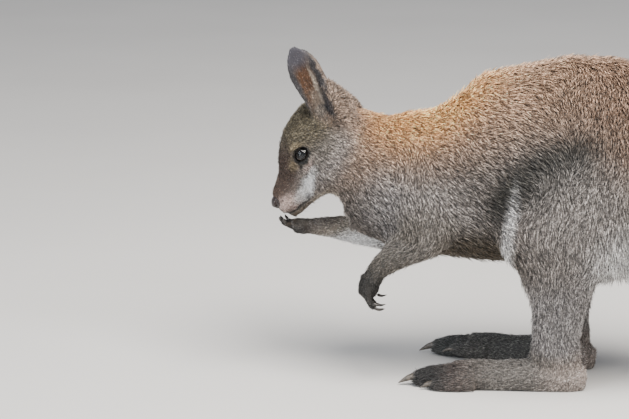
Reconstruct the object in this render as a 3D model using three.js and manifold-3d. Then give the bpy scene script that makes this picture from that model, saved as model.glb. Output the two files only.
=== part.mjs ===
// A red-necked wallaby on its hind feet with its back arched, feeding from its right forepaw, life size.
// Millimetres, +Z up, the animal faces -X and its left side is -Y. All outlines are those of the coat.
import * as THREE from "three";
import { LoftGeometry } from "three/addons/geometries/LoftGeometry.js";
import { mergeVertices } from "three/addons/utils/BufferGeometryUtils.js";
import Module from "manifold-3d";

const wasm = await Module();
wasm.setup();

// Driving dimensions.
const BACK_HEIGHT = 392; // top of the arched back above the floor
const HIP_HALF_WIDTH = 88; // trunk at the hips, without the thighs
const HEAD_LENGTH = 146; // tip of the nose to the back of the skull
const EAR_LENGTH = 97; // buried root to tip
const EYE_RADIUS = 10.6;
const FOOT_SPREAD = 48; // centre of each heel from the midplane
const HEEL_X = 300; // centre of the left heel
const KNEE_HEIGHT = 190;
const GAP = 0.3; // between neighbouring solids
const LEFT = -1; // sign of Y
const RIGHT = 1;
// Degrees that each hind foot points outwards, and how far it stands behind HEEL_X.
const STANCE = { [LEFT]: { turnout: 5, step: 0 }, [RIGHT]: { turnout: 8, step: 5 } };

const V = (x, y, z) => new THREE.Vector3(x, y, z);
const rad = THREE.MathUtils.degToRad;

const COLOURS = {
  back: 0x8f7a66,
  neck: 0xa8805c,
  head: 0x6f6255,
  throat: 0xc9bba6,
  limb: 0x8c8175,
  paw: 0x33302d,
  ear: 0x5b4a44,
  claw: 0x2a2624,
  horn: 0x77695a,
  nose: 0x1c1a1a,
  eye: 0x0b0b0f,
};

// Solids.

/** A closed geometry as a manifold solid. */
function solid(geometry) {
  const bare = new THREE.BufferGeometry().setAttribute("position", geometry.getAttribute("position"));
  bare.setIndex(geometry.getIndex());
  const merged = mergeVertices(bare, 1e-3);
  return new wasm.Manifold(
    new wasm.Mesh({
      numProp: 3,
      vertProperties: merged.attributes.position.array,
      triVerts: new Uint32Array(merged.index.array),
    }),
  );
}

/** A manifold solid as a three.js geometry. */
function geometryOf(made) {
  const mesh = made.getMesh();
  const geometry = new THREE.BufferGeometry();
  geometry.setAttribute("position", new THREE.BufferAttribute(new Float32Array(mesh.vertProperties), 3));
  geometry.setIndex(new THREE.BufferAttribute(new Uint32Array(mesh.triVerts), 1));
  geometry.computeVertexNormals();
  return geometry;
}

/** A loft through rings of points that turn right-handed about its direction, closed at both ends. */
function loft(rings) {
  return solid(new LoftGeometry(rings, { capStart: true, capEnd: true }));
}

/** A smooth path through places, and a smooth run of pairs of numbers. */
const pathThrough = (places) => new THREE.CatmullRomCurve3(places.map((p) => V(...p)), false, "centripetal");
const curveOf = (pairs) =>
  new THREE.CatmullRomCurve3(pairs.map(([a, b]) => V(a, b, 0)), false, "catmullrom", 0.5);

/**
 * A body part as a path of stations. Each station is { at, wide, deep } with at = [x, y, z], wide the half
 * width across the animal and deep the half height across the path. slim narrows the upper half of the
 * section and thin the lower half.
 */
class Limb {
  constructor(stations, { sides = 16, slim = 0, thin = 0 } = {}) {
    this.path = pathThrough(stations.map((s) => s.at));
    this.sizes = curveOf(stations.map((s) => [s.wide, s.deep]));
    this.shapes = curveOf(stations.map((s) => [s.slim ?? slim, s.thin ?? thin]));
    this.last = stations.length - 1;
    this.sides = sides;
  }

  /** The ring at station number k, or between two stations, grown by `grow` and moved along the path. */
  ring(k, { grow = 0, move = 0, scale = 1 } = {}) {
    const t = THREE.MathUtils.clamp(k / this.last, 0, 1);
    const along = this.path.getTangent(t);
    const across = V(0, 1, 0).addScaledVector(along, -along.y).normalize();
    const up = V(0, 0, 0).crossVectors(along, across).normalize();
    const centre = this.path.getPoint(t).addScaledVector(along, move);
    const size = this.sizes.getPoint(t);
    const shape = this.shapes.getPoint(t);
    return Array.from({ length: this.sides }, (_, i) => {
      const angle = (2 * Math.PI * i) / this.sides;
      const [c, s] = [Math.cos(angle), Math.sin(angle)];
      const pinch = 1 - (s > 0 ? shape.x : shape.y) * s * s;
      return centre
        .clone()
        .addScaledVector(across, (size.x + grow) * scale * c * pinch)
        .addScaledVector(up, (size.y + grow) * scale * s);
    });
  }

  /** The closed solid between two stations. A round end bulges past its station by that share of its depth. */
  body({ from = 0, to = this.last, steps = 1, grow = 0, roundStart = 0, roundEnd = 0 } = {}) {
    const count = Math.max(1, Math.round((to - from) * steps));
    const rings = Array.from({ length: count + 1 }, (_, i) =>
      this.ring(from + ((to - from) * i) / count, { grow, move: (2 * i - count) * (grow / count) }));
    const cap = (k, bulge) =>
      [0.55, 0.9].map((turn) => {
        const reach = Math.abs(bulge) * (this.sizes.getPoint(k / this.last).y + grow);
        return this.ring(k, {
          grow,
          scale: Math.cos((turn * Math.PI) / 2),
          move: Math.sign(bulge) * (reach * Math.sin((turn * Math.PI) / 2) + grow),
        });
      });
    if (roundEnd) rings.push(...cap(to, roundEnd));
    if (roundStart) rings.unshift(...cap(from, -roundStart).reverse());
    return loft(rings);
  }
}

/** An ellipsoid of half sizes [x, y, z], turned about Y by `tilt` degrees. */
function ellipsoid(at, half, tilt = 0) {
  const geometry = new THREE.SphereGeometry(1, 10, 7);
  geometry.scale(...half).rotateY(rad(tilt)).translate(...at);
  return solid(geometry);
}

const mirrored = (stations) => stations.map((s) => ({ ...s, at: [s.at[0], -s.at[1], s.at[2]] }));
const onSide = (stations, side) => (side === LEFT ? stations : mirrored(stations));

// Neck, trunk and tail are one long body, parted across.

const SPINE = new Limb(
  [
    { at: [-2, 0, 266], wide: 34, deep: 48 },
    { at: [22, 0, 262], wide: 46, deep: 60 },
    { at: [45, 0, 255], wide: 51, deep: 67 },
    { at: [76, 0, 239], wide: 55, deep: 77 },
    { at: [115, 0, 235], wide: 62, deep: 85, slim: 0.16 },
    { at: [160, 0, 235], wide: 72, deep: 91, slim: 0.2 },
    { at: [210, 0, 245], wide: 81, deep: 109, slim: 0.2 },
    { at: [262, 0, BACK_HEIGHT - 131], wide: 86, deep: 126, slim: 0.16 },
    { at: [316, 0, BACK_HEIGHT - 133], wide: HIP_HALF_WIDTH, deep: 133, slim: 0.14 },
    { at: [368, 0, BACK_HEIGHT - 139], wide: HIP_HALF_WIDTH - 2, deep: 133, slim: 0.12 },
    { at: [416, 0, 233], wide: 78, deep: 116, slim: 0.08 },
    { at: [452, 0, 200], wide: 64, deep: 84 },
    { at: [484, 0, 162], wide: 50, deep: 58 },
    { at: [516, 3, 121], wide: 42, deep: 45 },
    { at: [556, 8, 79], wide: 36, deep: 37 },
    { at: [606, 16, 46], wide: 32, deep: 32 },
    { at: [664, 27, 31], wide: 28, deep: 30 },
    { at: [744, 41, 25], wide: 25, deep: 27 },
    { at: [834, 52, 21], wide: 22, deep: 23 },
    { at: [924, 55, 18], wide: 18.5, deep: 19.5 },
    { at: [1010, 48, 14.5], wide: 15.5, deep: 16 },
    { at: [1086, 33, 11], wide: 12, deep: 12.5 },
    { at: [1140, 16, 7], wide: 7, deep: 7.5 },
  ],
  { sides: 18 },
);
const NECK_END = 3.6; // station numbers where the long body is parted
const TAIL_START = 11.5;
const TAIL_BEND = 15;
const TAIL_MID = 18.5;
const PARTING = 0.01; // stations left open at each cut, about GAP

const spinePart = (from, to, options) => SPINE.body({ from, to, ...options });

// The head is laid out from the tip of its nose.

const NOSE_TIP = V(-49, 0, 203);
const BACKWARD = V(0.631, 0, 0.776); // from the nose to the back of the skull
const DORSAL = V(-0.776, 0, 0.631); // from the jaw to the brow

/** A place on the head: s back from the nose tip, n towards the brow, y across. */
const onHead = (s, n, y = 0) =>
  NOSE_TIP.clone().addScaledVector(BACKWARD, s).addScaledVector(DORSAL, n).setY(y);

/** A station of the head, from its upper and lower outline. */
const headStation = (s, brow, jaw, wide, slim, thin) => ({
  at: onHead(s, (brow + jaw) / 2).toArray(),
  wide,
  deep: (brow - jaw) / 2,
  slim,
  thin,
});

const HEAD = new Limb(
  [
    headStation(1, 3, -23, 9.5, 0.5, 0.1),
    headStation(8, 9, -29.5, 14, 0.45, 0.1),
    headStation(20, 14, -31, 17.5, 0.4, 0.1),
    headStation(36, 20, -34, 21.5, 0.4, 0.1),
    headStation(50, 31, -39, 27, 0.35, 0.15),
    headStation(66, 41, -43, 33, 0.3, 0.25),
    headStation(82, 48, -43, 36, 0.28, 0.3),
    headStation(98, 50.5, -41, 36, 0.25, 0.3),
    headStation(113, 50.5, -38, 34, 0.2, 0.25),
    headStation(128, 44, -32, 30, 0.15, 0.2),
    headStation(HEAD_LENGTH - 8, 31, -24, 23, 0.1, 0.1),
  ],
  { sides: 14 },
);

const JAW = new Limb(
  [
    headStation(3, -23, -32, 7),
    headStation(10, -24, -34.5, 10),
    headStation(21, -25, -36, 13.5),
    headStation(34, -26, -38, 18),
    headStation(48, -22, -42.5, 23.5),
    headStation(62, -14, -50, 28),
  ],
  { sides: 10, thin: 0.15 },
);

/** The eyeball of one side, set in the widest part of the head. */
const EYE = { s: 75, n: 9.5, y: 27 };
const eyeball = (side, grow = 0) => {
  const r = EYE_RADIUS + grow;
  return ellipsoid(onHead(EYE.s, EYE.n, side * EYE.y).toArray(), [r, r, r]);
};

const NOSE = { half: [8.2, 10.5, 8.6], tilt: 15 };
const nosePad = (grow = 0) =>
  ellipsoid(onHead(2.6, -4).toArray(), NOSE.half.map((size) => size + grow), NOSE.tilt);

// The left ear stands up while the right one is swung outwards and forwards.
const EAR_ROOT = V(20, 26, 308);
const EAR_AXES = { [LEFT]: V(-0.39, 0.2, 0.9), [RIGHT]: V(-0.58, 0.4, 0.71) };
const EAR_WIDTHS = [13, 14, 14.5, 15, 16.5, 18, 18.3, 16, 11.5, 3.5]; // half widths, root to tip
const EAR_DEPTHS = [9, 12, 12, 11, 9.5, 8, 6, 4, 2, 0.6]; // hollow of the shell, root to tip
const EAR_WALL = { root: 4.6, tip: 2.2 };
const EAR_ARCH = 5; // how far the middle of the ear bows inwards

// The flesh behind each ear, from the nape up to the rear rim.
const EAR_MOUNDS = {
  [LEFT]: [
    { at: [44, -22, 304], wide: 15, deep: 15 },
    { at: [37, -25, 325], wide: 13, deep: 14 },
    { at: [29, -28, 340], wide: 10, deep: 11 },
    { at: [20, -31, 353], wide: 5.5, deep: 7 },
  ],
  [RIGHT]: [
    { at: [44, 22, 304], wide: 15, deep: 15 },
    { at: [34, 28, 319], wide: 13, deep: 13 },
    { at: [23, 34, 329], wide: 10, deep: 10 },
    { at: [12, 40, 338], wide: 5.5, deep: 6.5 },
  ],
};
const earMound = (side, grow) =>
  new Limb(EAR_MOUNDS[side], { sides: 8 }).body({ grow, roundEnd: 0.8 });

/** One ear: a hollow leaf whose section is a crescent open to the side of the head. */
function ear(side, grow = 0) {
  const axis = EAR_AXES[side].clone().normalize();
  const forward = V(-1, 0.25, 0).addScaledVector(axis, -V(-1, 0.25, 0).dot(axis)).normalize();
  const open = V(0, 0, 0).crossVectors(forward, axis).normalize();
  const last = EAR_WIDTHS.length - 1;
  const points = 5; // along each side of the crescent
  const rings = EAR_WIDTHS.map((width, k) => {
    const t = k / last;
    const wall = THREE.MathUtils.lerp(EAR_WALL.root, EAR_WALL.tip, t) / 2 + 2 * grow;
    const end = k === 0 ? -2 * grow : k === last ? 2 * grow : 0;
    const at = EAR_ROOT.clone()
      .addScaledVector(axis, EAR_LENGTH * t + end)
      .addScaledVector(open, -EAR_ARCH * Math.sin(t * Math.PI * 0.8));
    const point = (u, offset) =>
      at
        .clone()
        .addScaledVector(forward, width * u)
        .addScaledVector(open, -EAR_DEPTHS[k] * (1 - u * u) + offset);
    const reach = 1 + grow / width;
    const edge = Array.from({ length: points }, (_, i) => reach * (-1 + (2 * i) / (points - 1)));
    const taper = (u) => wall * (1 - 0.45 * u ** 4);
    return [
      ...edge.map((u) => point(u * 0.93, taper(u))),
      ...edge.reverse().map((u) => point(u, -taper(u))),
    ];
  });
  if (side === LEFT) rings.forEach((ring) => ring.reverse().forEach((p) => (p.y *= -1)));
  return loft(rings).add(earMound(side, grow));
}

// Left hind leg, from the hip to the floor.
const THIGH = [
  { at: [374, -38, 318], wide: 26, deep: 54 },
  { at: [368, -50, 266], wide: 42, deep: 91 },
  { at: [342, -60, 216], wide: 47, deep: 97 },
  { at: [298, -68, 192], wide: 42, deep: 64 },
  { at: [265, -74, 186], wide: 33, deep: 39 },
];

const SHIN = [
  { at: [268, -73, KNEE_HEIGHT], wide: 30, deep: 30 },
  { at: [291, -69, 156], wide: 35, deep: 42 },
  { at: [301, -63, 128], wide: 31, deep: 42 },
  { at: [299, -56, 96], wide: 25, deep: 33 },
  { at: [296, -51, 64], wide: 21, deep: 30 },
  { at: [296, -48, 38], wide: 20, deep: 31 },
  { at: [300, -47, 18], wide: 18, deep: 26 },
];

/** A place on a foot: ahead of the heel's centre, out to the outer edge, and up. */
function onFoot(side, ahead, out, up) {
  const { turnout, step } = STANCE[side];
  const [c, s] = [Math.cos(rad(turnout)), Math.sin(rad(turnout))];
  return [HEEL_X + step - ahead * c + out * s, side * (FOOT_SPREAD + ahead * s + out * c), up];
}

// Rows of a foot's lofts: ahead, out, top, half width and, where it is not below the floor, the underside.
const UNDER_FLOOR = -6;
const SOLE = [
  [-20, 0, 34, 15],
  [0, 0, 41, 19],
  [34, 0, 37, 20],
  [68, 0, 33.5, 19.5],
  [100, 0, 34, 21],
  [119, 0, 32, 21.5],
];
const FOURTH_TOE = [
  [108, 1, 33, 14],
  [128, 1, 30, 13.5],
  [148, 1, 27, 12.5],
  [164, 1, 21, 10, -5],
];
const FIFTH_TOE = [
  [100, 14, 27, 9.5],
  [118, 18, 24, 9.5],
  [134, 19, 19, 8.5],
  [145, 18, 15, 7, -4],
];
const JOINED_TOES = [ // the slender second and third toes share one skin on the inner edge
  [98, -15, 27, 7.5, 2],
  [116, -18, 26, 7, 4],
  [132, -18, 23, 6.5, 6],
  [141, -17, 20, 5.5, 8],
];
const TOE_CLAWS = {
  fourth: { places: [[161, 1, 11], [175, 1, 11], [189, 1, 2.5]], wide: 6 },
  fifth: { places: [[143, 18, 8], [153, 17.5, 8], [163, 17, 2]], wide: 4.5 },
  third: { places: [[139, -14.5, 14], [147, -14.5, 14.5], [154, -14.5, 9]], wide: 2.4 },
  second: { places: [[139, -20, 14], [147, -20, 14.5], [154, -20, 9]], wide: 2.4 },
};

const footLoft = (rows, side, sides) =>
  new Limb(
    rows.map(([ahead, out, top, wide, under = UNDER_FLOOR]) => ({
      at: onFoot(side, ahead, out, (top + under) / 2),
      wide,
      deep: (top - under) / 2,
    })),
    { sides },
  );

function foot(side, grow = 0) {
  let made = footLoft(SOLE, side, 10).body({ roundStart: 0.75, roundEnd: 0.4, grow });
  for (const toe of [FOURTH_TOE, FIFTH_TOE, JOINED_TOES]) {
    made = made.add(footLoft(toe, side, 7).body({ roundEnd: 0.55, grow }));
  }
  return made;
}

/** A curved horny claw, which narrows to a point. */
function footClaw({ places, wide }, side, grow = 0) {
  const taper = [1, 0.75, 0.1];
  const stations = places.map((place, i) => ({
    at: onFoot(side, ...place),
    wide: wide * taper[i],
    deep: wide * 1.08 * taper[i],
  }));
  return new Limb(stations, { sides: 6 }).body({ grow });
}

/** The shin stations of one side; the ankle goes with its foot. */
const shinStations = (side) =>
  onSide(SHIN, side).map((s) => {
    const share = (KNEE_HEIGHT - s.at[2]) / KNEE_HEIGHT;
    return { ...s, at: [s.at[0] + share * STANCE[side].step, s.at[1], s.at[2]] };
  });

// Arms, from the shoulder to the wrist.
const LEFT_UPPER_ARM = [
  { at: [128, -40, 250], wide: 26, deep: 42 },
  { at: [138, -54, 214], wide: 27, deep: 38 },
  { at: [147, -67, 181], wide: 22, deep: 27 },
];
const LEFT_FOREARM = [
  { at: [152, -70, 180], wide: 19, deep: 22 },
  { at: [122, -68, 166], wide: 19, deep: 20.5 },
  { at: [101, -63, 152], wide: 16, deep: 17 },
  { at: [86, -62, 138], wide: 13.5, deep: 13 },
  { at: [81, -62, 128], wide: 13, deep: 12 },
];
const RIGHT_UPPER_ARM = [
  { at: [122, 40, 246], wide: 26, deep: 42 },
  { at: [106, 52, 204], wide: 25, deep: 34 },
  { at: [92, 59, 160], wide: 21, deep: 25 },
];
const RIGHT_FOREARM = [
  { at: [92, 59, 151], wide: 19, deep: 20 },
  { at: [62, 47, 157], wide: 18, deep: 19 },
  { at: [30, 31, 165], wide: 15, deep: 16 },
  { at: [4, 15, 170], wide: 12, deep: 11.5 },
  { at: [-7, 9, 171], wide: 11.5, deep: 9.5 },
];

// A hand is laid out in its own frame: `fingers` along the hand, `back` out of its back, `thumb` across it.
// `curl` scales the bend of its fingers and `thick` the depth of its palm.
const LEFT_HAND = {
  wrist: V(78, -62, 128),
  fingers: V(-0.22, 0, -0.975).normalize(),
  back: V(-0.975, 0, 0.22).normalize(),
  thumb: V(0, 1, 0),
  curl: 1,
  thick: 1,
};
const RIGHT_HAND = {
  wrist: V(-7, 9, 171.5),
  fingers: V(-0.94, -0.34, 0).normalize(),
  back: V(0, 0, -1),
  thumb: V(0.34, -0.94, 0).normalize(),
  curl: 0.5,
  thick: 0.75,
};
const ARMS = {
  [LEFT]: { upper: LEFT_UPPER_ARM, fore: LEFT_FOREARM, hand: LEFT_HAND },
  [RIGHT]: { upper: RIGHT_UPPER_ARM, fore: RIGHT_FOREARM, hand: RIGHT_HAND },
};
const PALM_LENGTH = 20;
// Place of the knuckle across the hand and ahead of the wrist, length from knuckle to fingertip, and splay.
const FINGERS = [
  { across: 14, ahead: 9, length: 15, splay: 3 },
  { across: 7, ahead: 15, length: 18.5, splay: 1.5 },
  { across: 0, ahead: 17, length: 20, splay: 0 },
  { across: -7, ahead: 15.5, length: 18.5, splay: -1.5 },
  { across: -14, ahead: 11, length: 15.5, splay: -3 },
];
const FINGER_RADIUS = 3.3;
const KNUCKLE_RISE = -1; // of the knuckles above the middle of the palm

const onHand = (hand, ahead, across, up) =>
  hand.wrist
    .clone()
    .addScaledVector(hand.fingers, ahead)
    .addScaledVector(hand.thumb, across)
    .addScaledVector(hand.back, up)
    .toArray();

/** A tube round a path of places, with half widths [across, through] at each and an end that bulges. */
function tube(places, radii, across, { sides, grow, bulge }) {
  const path = pathThrough(places);
  const sizes = curveOf(radii);
  const ringAt = (t, scale = 1, move = 0) => {
    const along = path.getTangent(t);
    const side = across.clone().addScaledVector(along, -across.dot(along)).normalize();
    const up = V(0, 0, 0).crossVectors(along, side);
    const centre = path.getPoint(t).addScaledVector(along, move);
    const size = sizes.getPoint(t);
    return Array.from({ length: sides }, (_, i) => {
      const angle = (2 * Math.PI * (i + 0.5)) / sides;
      return centre
        .clone()
        .addScaledVector(side, (size.x + grow) * scale * Math.cos(angle))
        .addScaledVector(up, (size.y + grow) * scale * Math.sin(angle));
    });
  };
  const count = places.length - 1;
  const rings = places.map((_, i) => ringAt(i / count, 1, (2 * i - count) * (grow / count)));
  const reach = bulge * (radii.at(-1)[0] + grow);
  if (bulge) rings.push(ringAt(1, 0.6, reach * 0.75 + grow));
  return loft(rings);
}

/** The middle line of a finger: level at the knuckle, then curling towards the palm. */
function fingerLine(hand, { across, ahead, length, splay }) {
  const curl = [0, 0.12, 0.5, 0.95].map((turn) => turn * length * 0.72 * hand.curl);
  const reach = [0, 0.4, 0.74, 0.86].map((share) => share * length);
  return reach.map((r, i) =>
    onHand(hand, ahead + r, across + splay * (r / length), KNUCKLE_RISE - curl[i]));
}

/** The claw goes on from the fingertip, still curling. */
function fingerClaw(hand, finger, grow = 0) {
  const { across, ahead, length, splay } = finger;
  const [reach, rise] = [ahead + 0.85 * length, KNUCKLE_RISE - 0.62 * length * hand.curl];
  const lean = 4 * (1 - hand.curl); // a straighter finger's claw points ahead
  const places = [[0, 0], [1 + lean, -6], [-2.5 + 3 * lean, -11.5]].map(([r, up]) =>
    onHand(hand, reach + r, across + splay, rise + up * hand.curl));
  return tube(places, [[2.2, 2.6], [1.7, 2], [0.4, 0.4]], hand.thumb, { sides: 5, grow, bulge: 0 });
}

function palm(hand, grow = 0) {
  const places = [[-3, 0, 0], [7, 0, 0], [15, 0, -1], [PALM_LENGTH, 0, -4]].map((p) => onHand(hand, ...p));
  const radii = [[12, 12], [14, 13.5], [15, 13.5], [13, 9.5]].map(([wide, deep]) => [wide, deep * hand.thick]);
  return tube(places, radii, hand.thumb, { sides: 8, grow, bulge: 0.35 });
}

function handSolid(hand, grow = 0) {
  let made = palm(hand, grow);
  for (const finger of FINGERS) {
    const r = FINGER_RADIUS;
    const radii = [[r, r + 2], [r, r + 1.4], [r, r + 0.8], [r - 0.6, r - 0.2]];
    made = made.add(tube(fingerLine(hand, finger), radii, hand.thumb, { sides: 5, grow, bulge: 0.8 }));
  }
  return made;
}

// All the nodes.
const wallaby = new THREE.Group();
const nodes = new Map(); // name to { shape, colour }

const put = (name, shape, colour) => nodes.set(name, { shape, colour });
const cut = (from, ...tools) => tools.reduce((left, tool) => left.subtract(tool), from);

/** Everything below the floor is cut away, so that the soles and the tail lie flat. */
const FLOOR = solid(new THREE.BoxGeometry(2000, 1000, 100).translate(500, 0, -50));
const onFloor = (shape) => shape.subtract(FLOOR);

const limbs = []; // grown copies, which cut the trunk
const arms = []; // and those that reach the neck
for (const [name, side] of [["left", LEFT], ["right", RIGHT]]) {
  const thigh = new Limb(onSide(THIGH, side), { sides: 14 });
  const shin = new Limb(shinStations(side), { sides: 12 });
  const thighBody = (grow) => thigh.body({ grow, roundEnd: 0.95 });
  const shinBody = (grow) => shin.body({ grow });
  put(`thigh_${name}`, thighBody(0), COLOURS.back);
  put(`shin_${name}`, cut(shinBody(0), thighBody(GAP), foot(side, GAP)), COLOURS.limb);

  const clawRoots = Object.values(TOE_CLAWS).map((claw) => footClaw(claw, side, GAP));
  put(`foot_${name}`, onFloor(cut(foot(side), ...clawRoots)), COLOURS.limb);
  for (const [toe, claw] of Object.entries(TOE_CLAWS)) {
    put(`toe_claw_${toe}_${name}`, onFloor(footClaw(claw, side)), COLOURS.horn);
  }

  const { hand } = ARMS[side];
  const upper = new Limb(ARMS[side].upper, { sides: 12 });
  const fore = new Limb(ARMS[side].fore, { sides: 10 });
  const upperBody = (grow) => upper.body({ steps: 1.5, grow, roundStart: 0.6, roundEnd: 0.7 });
  const foreBody = (grow) => fore.body({ steps: 1.5, grow });
  put(`upper_arm_${name}`, upperBody(0), COLOURS.limb);
  put(`forearm_${name}`, cut(foreBody(0), upperBody(GAP)), COLOURS.limb);
  const nailRoots = FINGERS.map((finger) => fingerClaw(hand, finger, GAP));
  put(`hand_${name}`, cut(handSolid(hand), foreBody(GAP), ...nailRoots), COLOURS.paw);
  FINGERS.forEach((finger, i) => put(`hand_claw_${i + 1}_${name}`, fingerClaw(hand, finger), COLOURS.claw));
  limbs.push(thighBody(GAP), shinBody(GAP), upperBody(GAP));
  arms.push(upperBody(GAP));
}

const headBody = (grow) => HEAD.body({ grow, roundStart: 0.3, roundEnd: 0.5 });
const jawBody = (grow) => JAW.body({ grow, roundStart: 0.5 });
const sockets = [LEFT, RIGHT].flatMap((side) => [eyeball(side, GAP), ear(side, GAP)]);
put("head", cut(headBody(0), jawBody(GAP), nosePad(GAP), ...sockets), COLOURS.head);
put("lower_jaw", jawBody(0), COLOURS.throat);
put("nose", nosePad(), COLOURS.nose);
put("eye_left", eyeball(LEFT), COLOURS.eye);
put("eye_right", eyeball(RIGHT), COLOURS.eye);
put("ear_left", ear(LEFT), COLOURS.ear);
put("ear_right", ear(RIGHT), COLOURS.ear);

/** Rings round the neck that hollow the throat under the jaw: where the ring passes, and its radii. */
const THROAT_RINGS = [
  { at: [20, 0, 194], ring: 78, tube: 22 },
  { at: [25, 0, 180], ring: 84, tube: 22 },
];
const throatRing = ({ at: [x, y, z], ring, tube: thickness }) => {
  const torus = new THREE.TorusGeometry(ring, thickness, 10, 28);
  return solid(torus.rotateY(rad(90)).translate(x, y, z + ring));
};
const neck = spinePart(0, NECK_END);
const neckCuts = [headBody(GAP), jawBody(GAP), ear(LEFT, GAP), ear(RIGHT, GAP), ...THROAT_RINGS.map(throatRing)];
put("neck", cut(neck, ...neckCuts, ...arms), COLOURS.neck);
put("trunk", cut(spinePart(NECK_END + PARTING, TAIL_START), ...limbs), COLOURS.back);
put("tail_root", onFloor(spinePart(TAIL_START + PARTING, TAIL_BEND)), COLOURS.back);
put("tail_middle", onFloor(spinePart(TAIL_BEND + PARTING, TAIL_MID)), COLOURS.back);
put("tail_end", onFloor(spinePart(TAIL_MID + PARTING, SPINE.last, { roundEnd: 0.8 })), COLOURS.limb);

for (const [name, { shape, colour }] of nodes) {
  const material = new THREE.MeshStandardMaterial({ color: colour, roughness: 0.85, metalness: 0 });
  if (["nose", "eye_left", "eye_right"].includes(name)) material.roughness = 0.15;
  const mesh = new THREE.Mesh(geometryOf(shape), material);
  mesh.name = name;
  wallaby.add(mesh);
}

// The origin is on the floor, under the middle of the box that holds the animal.
const box = new THREE.Box3().setFromObject(wallaby);
wallaby.position.set(-(box.min.x + box.max.x) / 2, -(box.min.y + box.max.y) / 2, 0);

export default wallaby;
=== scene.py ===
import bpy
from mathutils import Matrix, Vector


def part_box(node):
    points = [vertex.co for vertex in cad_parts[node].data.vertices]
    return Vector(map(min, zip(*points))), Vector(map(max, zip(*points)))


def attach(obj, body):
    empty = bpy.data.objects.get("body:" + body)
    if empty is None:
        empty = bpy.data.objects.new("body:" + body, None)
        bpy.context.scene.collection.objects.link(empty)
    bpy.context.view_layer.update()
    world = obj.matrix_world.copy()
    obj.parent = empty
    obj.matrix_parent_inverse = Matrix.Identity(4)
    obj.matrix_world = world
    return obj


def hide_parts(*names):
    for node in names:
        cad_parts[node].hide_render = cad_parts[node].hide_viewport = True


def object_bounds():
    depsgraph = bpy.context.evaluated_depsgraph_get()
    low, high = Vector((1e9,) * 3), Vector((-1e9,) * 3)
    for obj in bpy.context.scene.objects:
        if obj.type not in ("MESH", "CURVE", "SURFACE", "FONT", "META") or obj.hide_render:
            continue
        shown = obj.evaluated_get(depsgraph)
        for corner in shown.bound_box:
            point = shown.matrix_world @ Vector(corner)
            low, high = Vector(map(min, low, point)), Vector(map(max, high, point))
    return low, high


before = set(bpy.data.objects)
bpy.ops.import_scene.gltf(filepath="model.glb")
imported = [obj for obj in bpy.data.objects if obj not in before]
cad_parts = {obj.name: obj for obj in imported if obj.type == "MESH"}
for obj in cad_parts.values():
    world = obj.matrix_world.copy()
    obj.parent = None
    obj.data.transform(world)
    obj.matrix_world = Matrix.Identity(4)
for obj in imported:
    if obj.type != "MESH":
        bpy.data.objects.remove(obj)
cadBox = [list(corner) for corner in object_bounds()]

import math

import bpy
import numpy as np
import openvdb as vdb
from mathutils import Vector

mm = 0.001
chance = np.random.default_rng(7)

# Places are written in mm in the body's own frame: x runs from the nose to the tail, y to the animal's
# right and z up from the floor. The eye ties that frame to the solids.
eyeInBody = np.array((-9.05, 0.0, 267.2))
eyeBoxes = [np.array(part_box(name)) for name in ("eye_left", "eye_right")]
bodyShift = np.mean([box.mean(0) for box in eyeBoxes], axis=0) - eyeInBody * mm


def place(points):
    return np.asarray(points, float) * mm + bodyShift


# The head has its own axes: s from the nose tip to the back of the skull, n towards the brow, y across.
head = {"tip": (-49, 0, 203), "back": (0.631, 0, 0.776), "brow": (-0.776, 0, 0.631)}


def onHead(s, n, y=0.0):
    return np.array(head["tip"]) + s * np.array(head["back"]) + n * np.array(head["brow"]) + (0, y, 0)


def headCoordinates(points):
    offset = (points - place(head["tip"]).astype(points.dtype)) / mm
    return [offset @ np.array(axis, points.dtype) for axis in (head["back"], head["brow"], (0, 1, 0))]


def unit(vectors):
    return vectors / np.maximum(np.linalg.norm(vectors, axis=-1, keepdims=True), 1e-9)


def smoothStep(low, high, value):
    t = np.clip((value - low) / (high - low), 0, 1)
    return t * t * (3 - 2 * t)


def dotted(a, b):
    return np.einsum("ij,ij->i", a, b)[:, None]


# The lie of the coat: lines from root to tip, with the coat's sizes along them, in mm and degrees.
tuft = {"oversample": 2.6, "cell": 1.22, "most": 33000, "sink": 0.6, "thick": 0.5, "lower": 0.42,
        "upper": 0.62, "bend": 0.6, "leastWidth": 0.8, "widthSpread": 0.4, "lengthSpread": 0.36,
        "liftSpread": 0.4, "liftShares": (0.2, 2.2), "strays": 0.05, "strayLift": 16.0, "floorGap": 0.4}
# The longer coat swirls, and the tips of neighbours draw together into locks.
swirl = {"strength": 0.36, "size": 22.0, "lengths": (3, 9), "ruffle": 0.2, "lattice": 24}
lock = {"share": 0.42, "least": 2.0, "most": 7.0, "pull": 0.22, "swirlSize": 7.0, "shift": 0.5}
earAxes = {-1: unit(np.array((-0.39, -0.2, 0.9))), 1: unit(np.array((-0.58, 0.4, 0.71)))}
earRoot = np.array((20, 26, 308))


# A tuft rises by these shares of its length, in its lower and its upper half.
def riseOf(length, lift):
    lifts = np.radians(np.broadcast_to(lift, 2))
    rise = tuft["lower"] * np.sin(lifts) + tuft["upper"] * np.sin(lifts * (1 - tuft["bend"]))
    return tuple(np.broadcast_to(length, 2) * rise)


def coatLine(piece, path, girth, length, lift, width, spacing, fall=0.0, halves=False):
    sizes = {"length": length, "lift": lift, "depth": riseOf(length, lift), "width": width,
             "spacing": spacing}
    return {"piece": piece, "path": place(path), "girth": np.array(girth) * mm, "fall": fall,
            "halves": halves, "sizes": sizes}


def coatPair(piece, path, *sizes):
    return [coatLine(piece, [(x, side * y, z) for x, y, z in path], *sizes) for side in (-1, 1)]


def earLine(side):
    root = earRoot * (1, side, 1)
    path = [root + earAxes[side] * reach for reach in (4, 30, 60, 97)]
    return coatLine("coatEars", path, (15, 15, 17, 10), (6.5, 2.6), (16, 12), (0.6, 0.5), 0.92)


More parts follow.
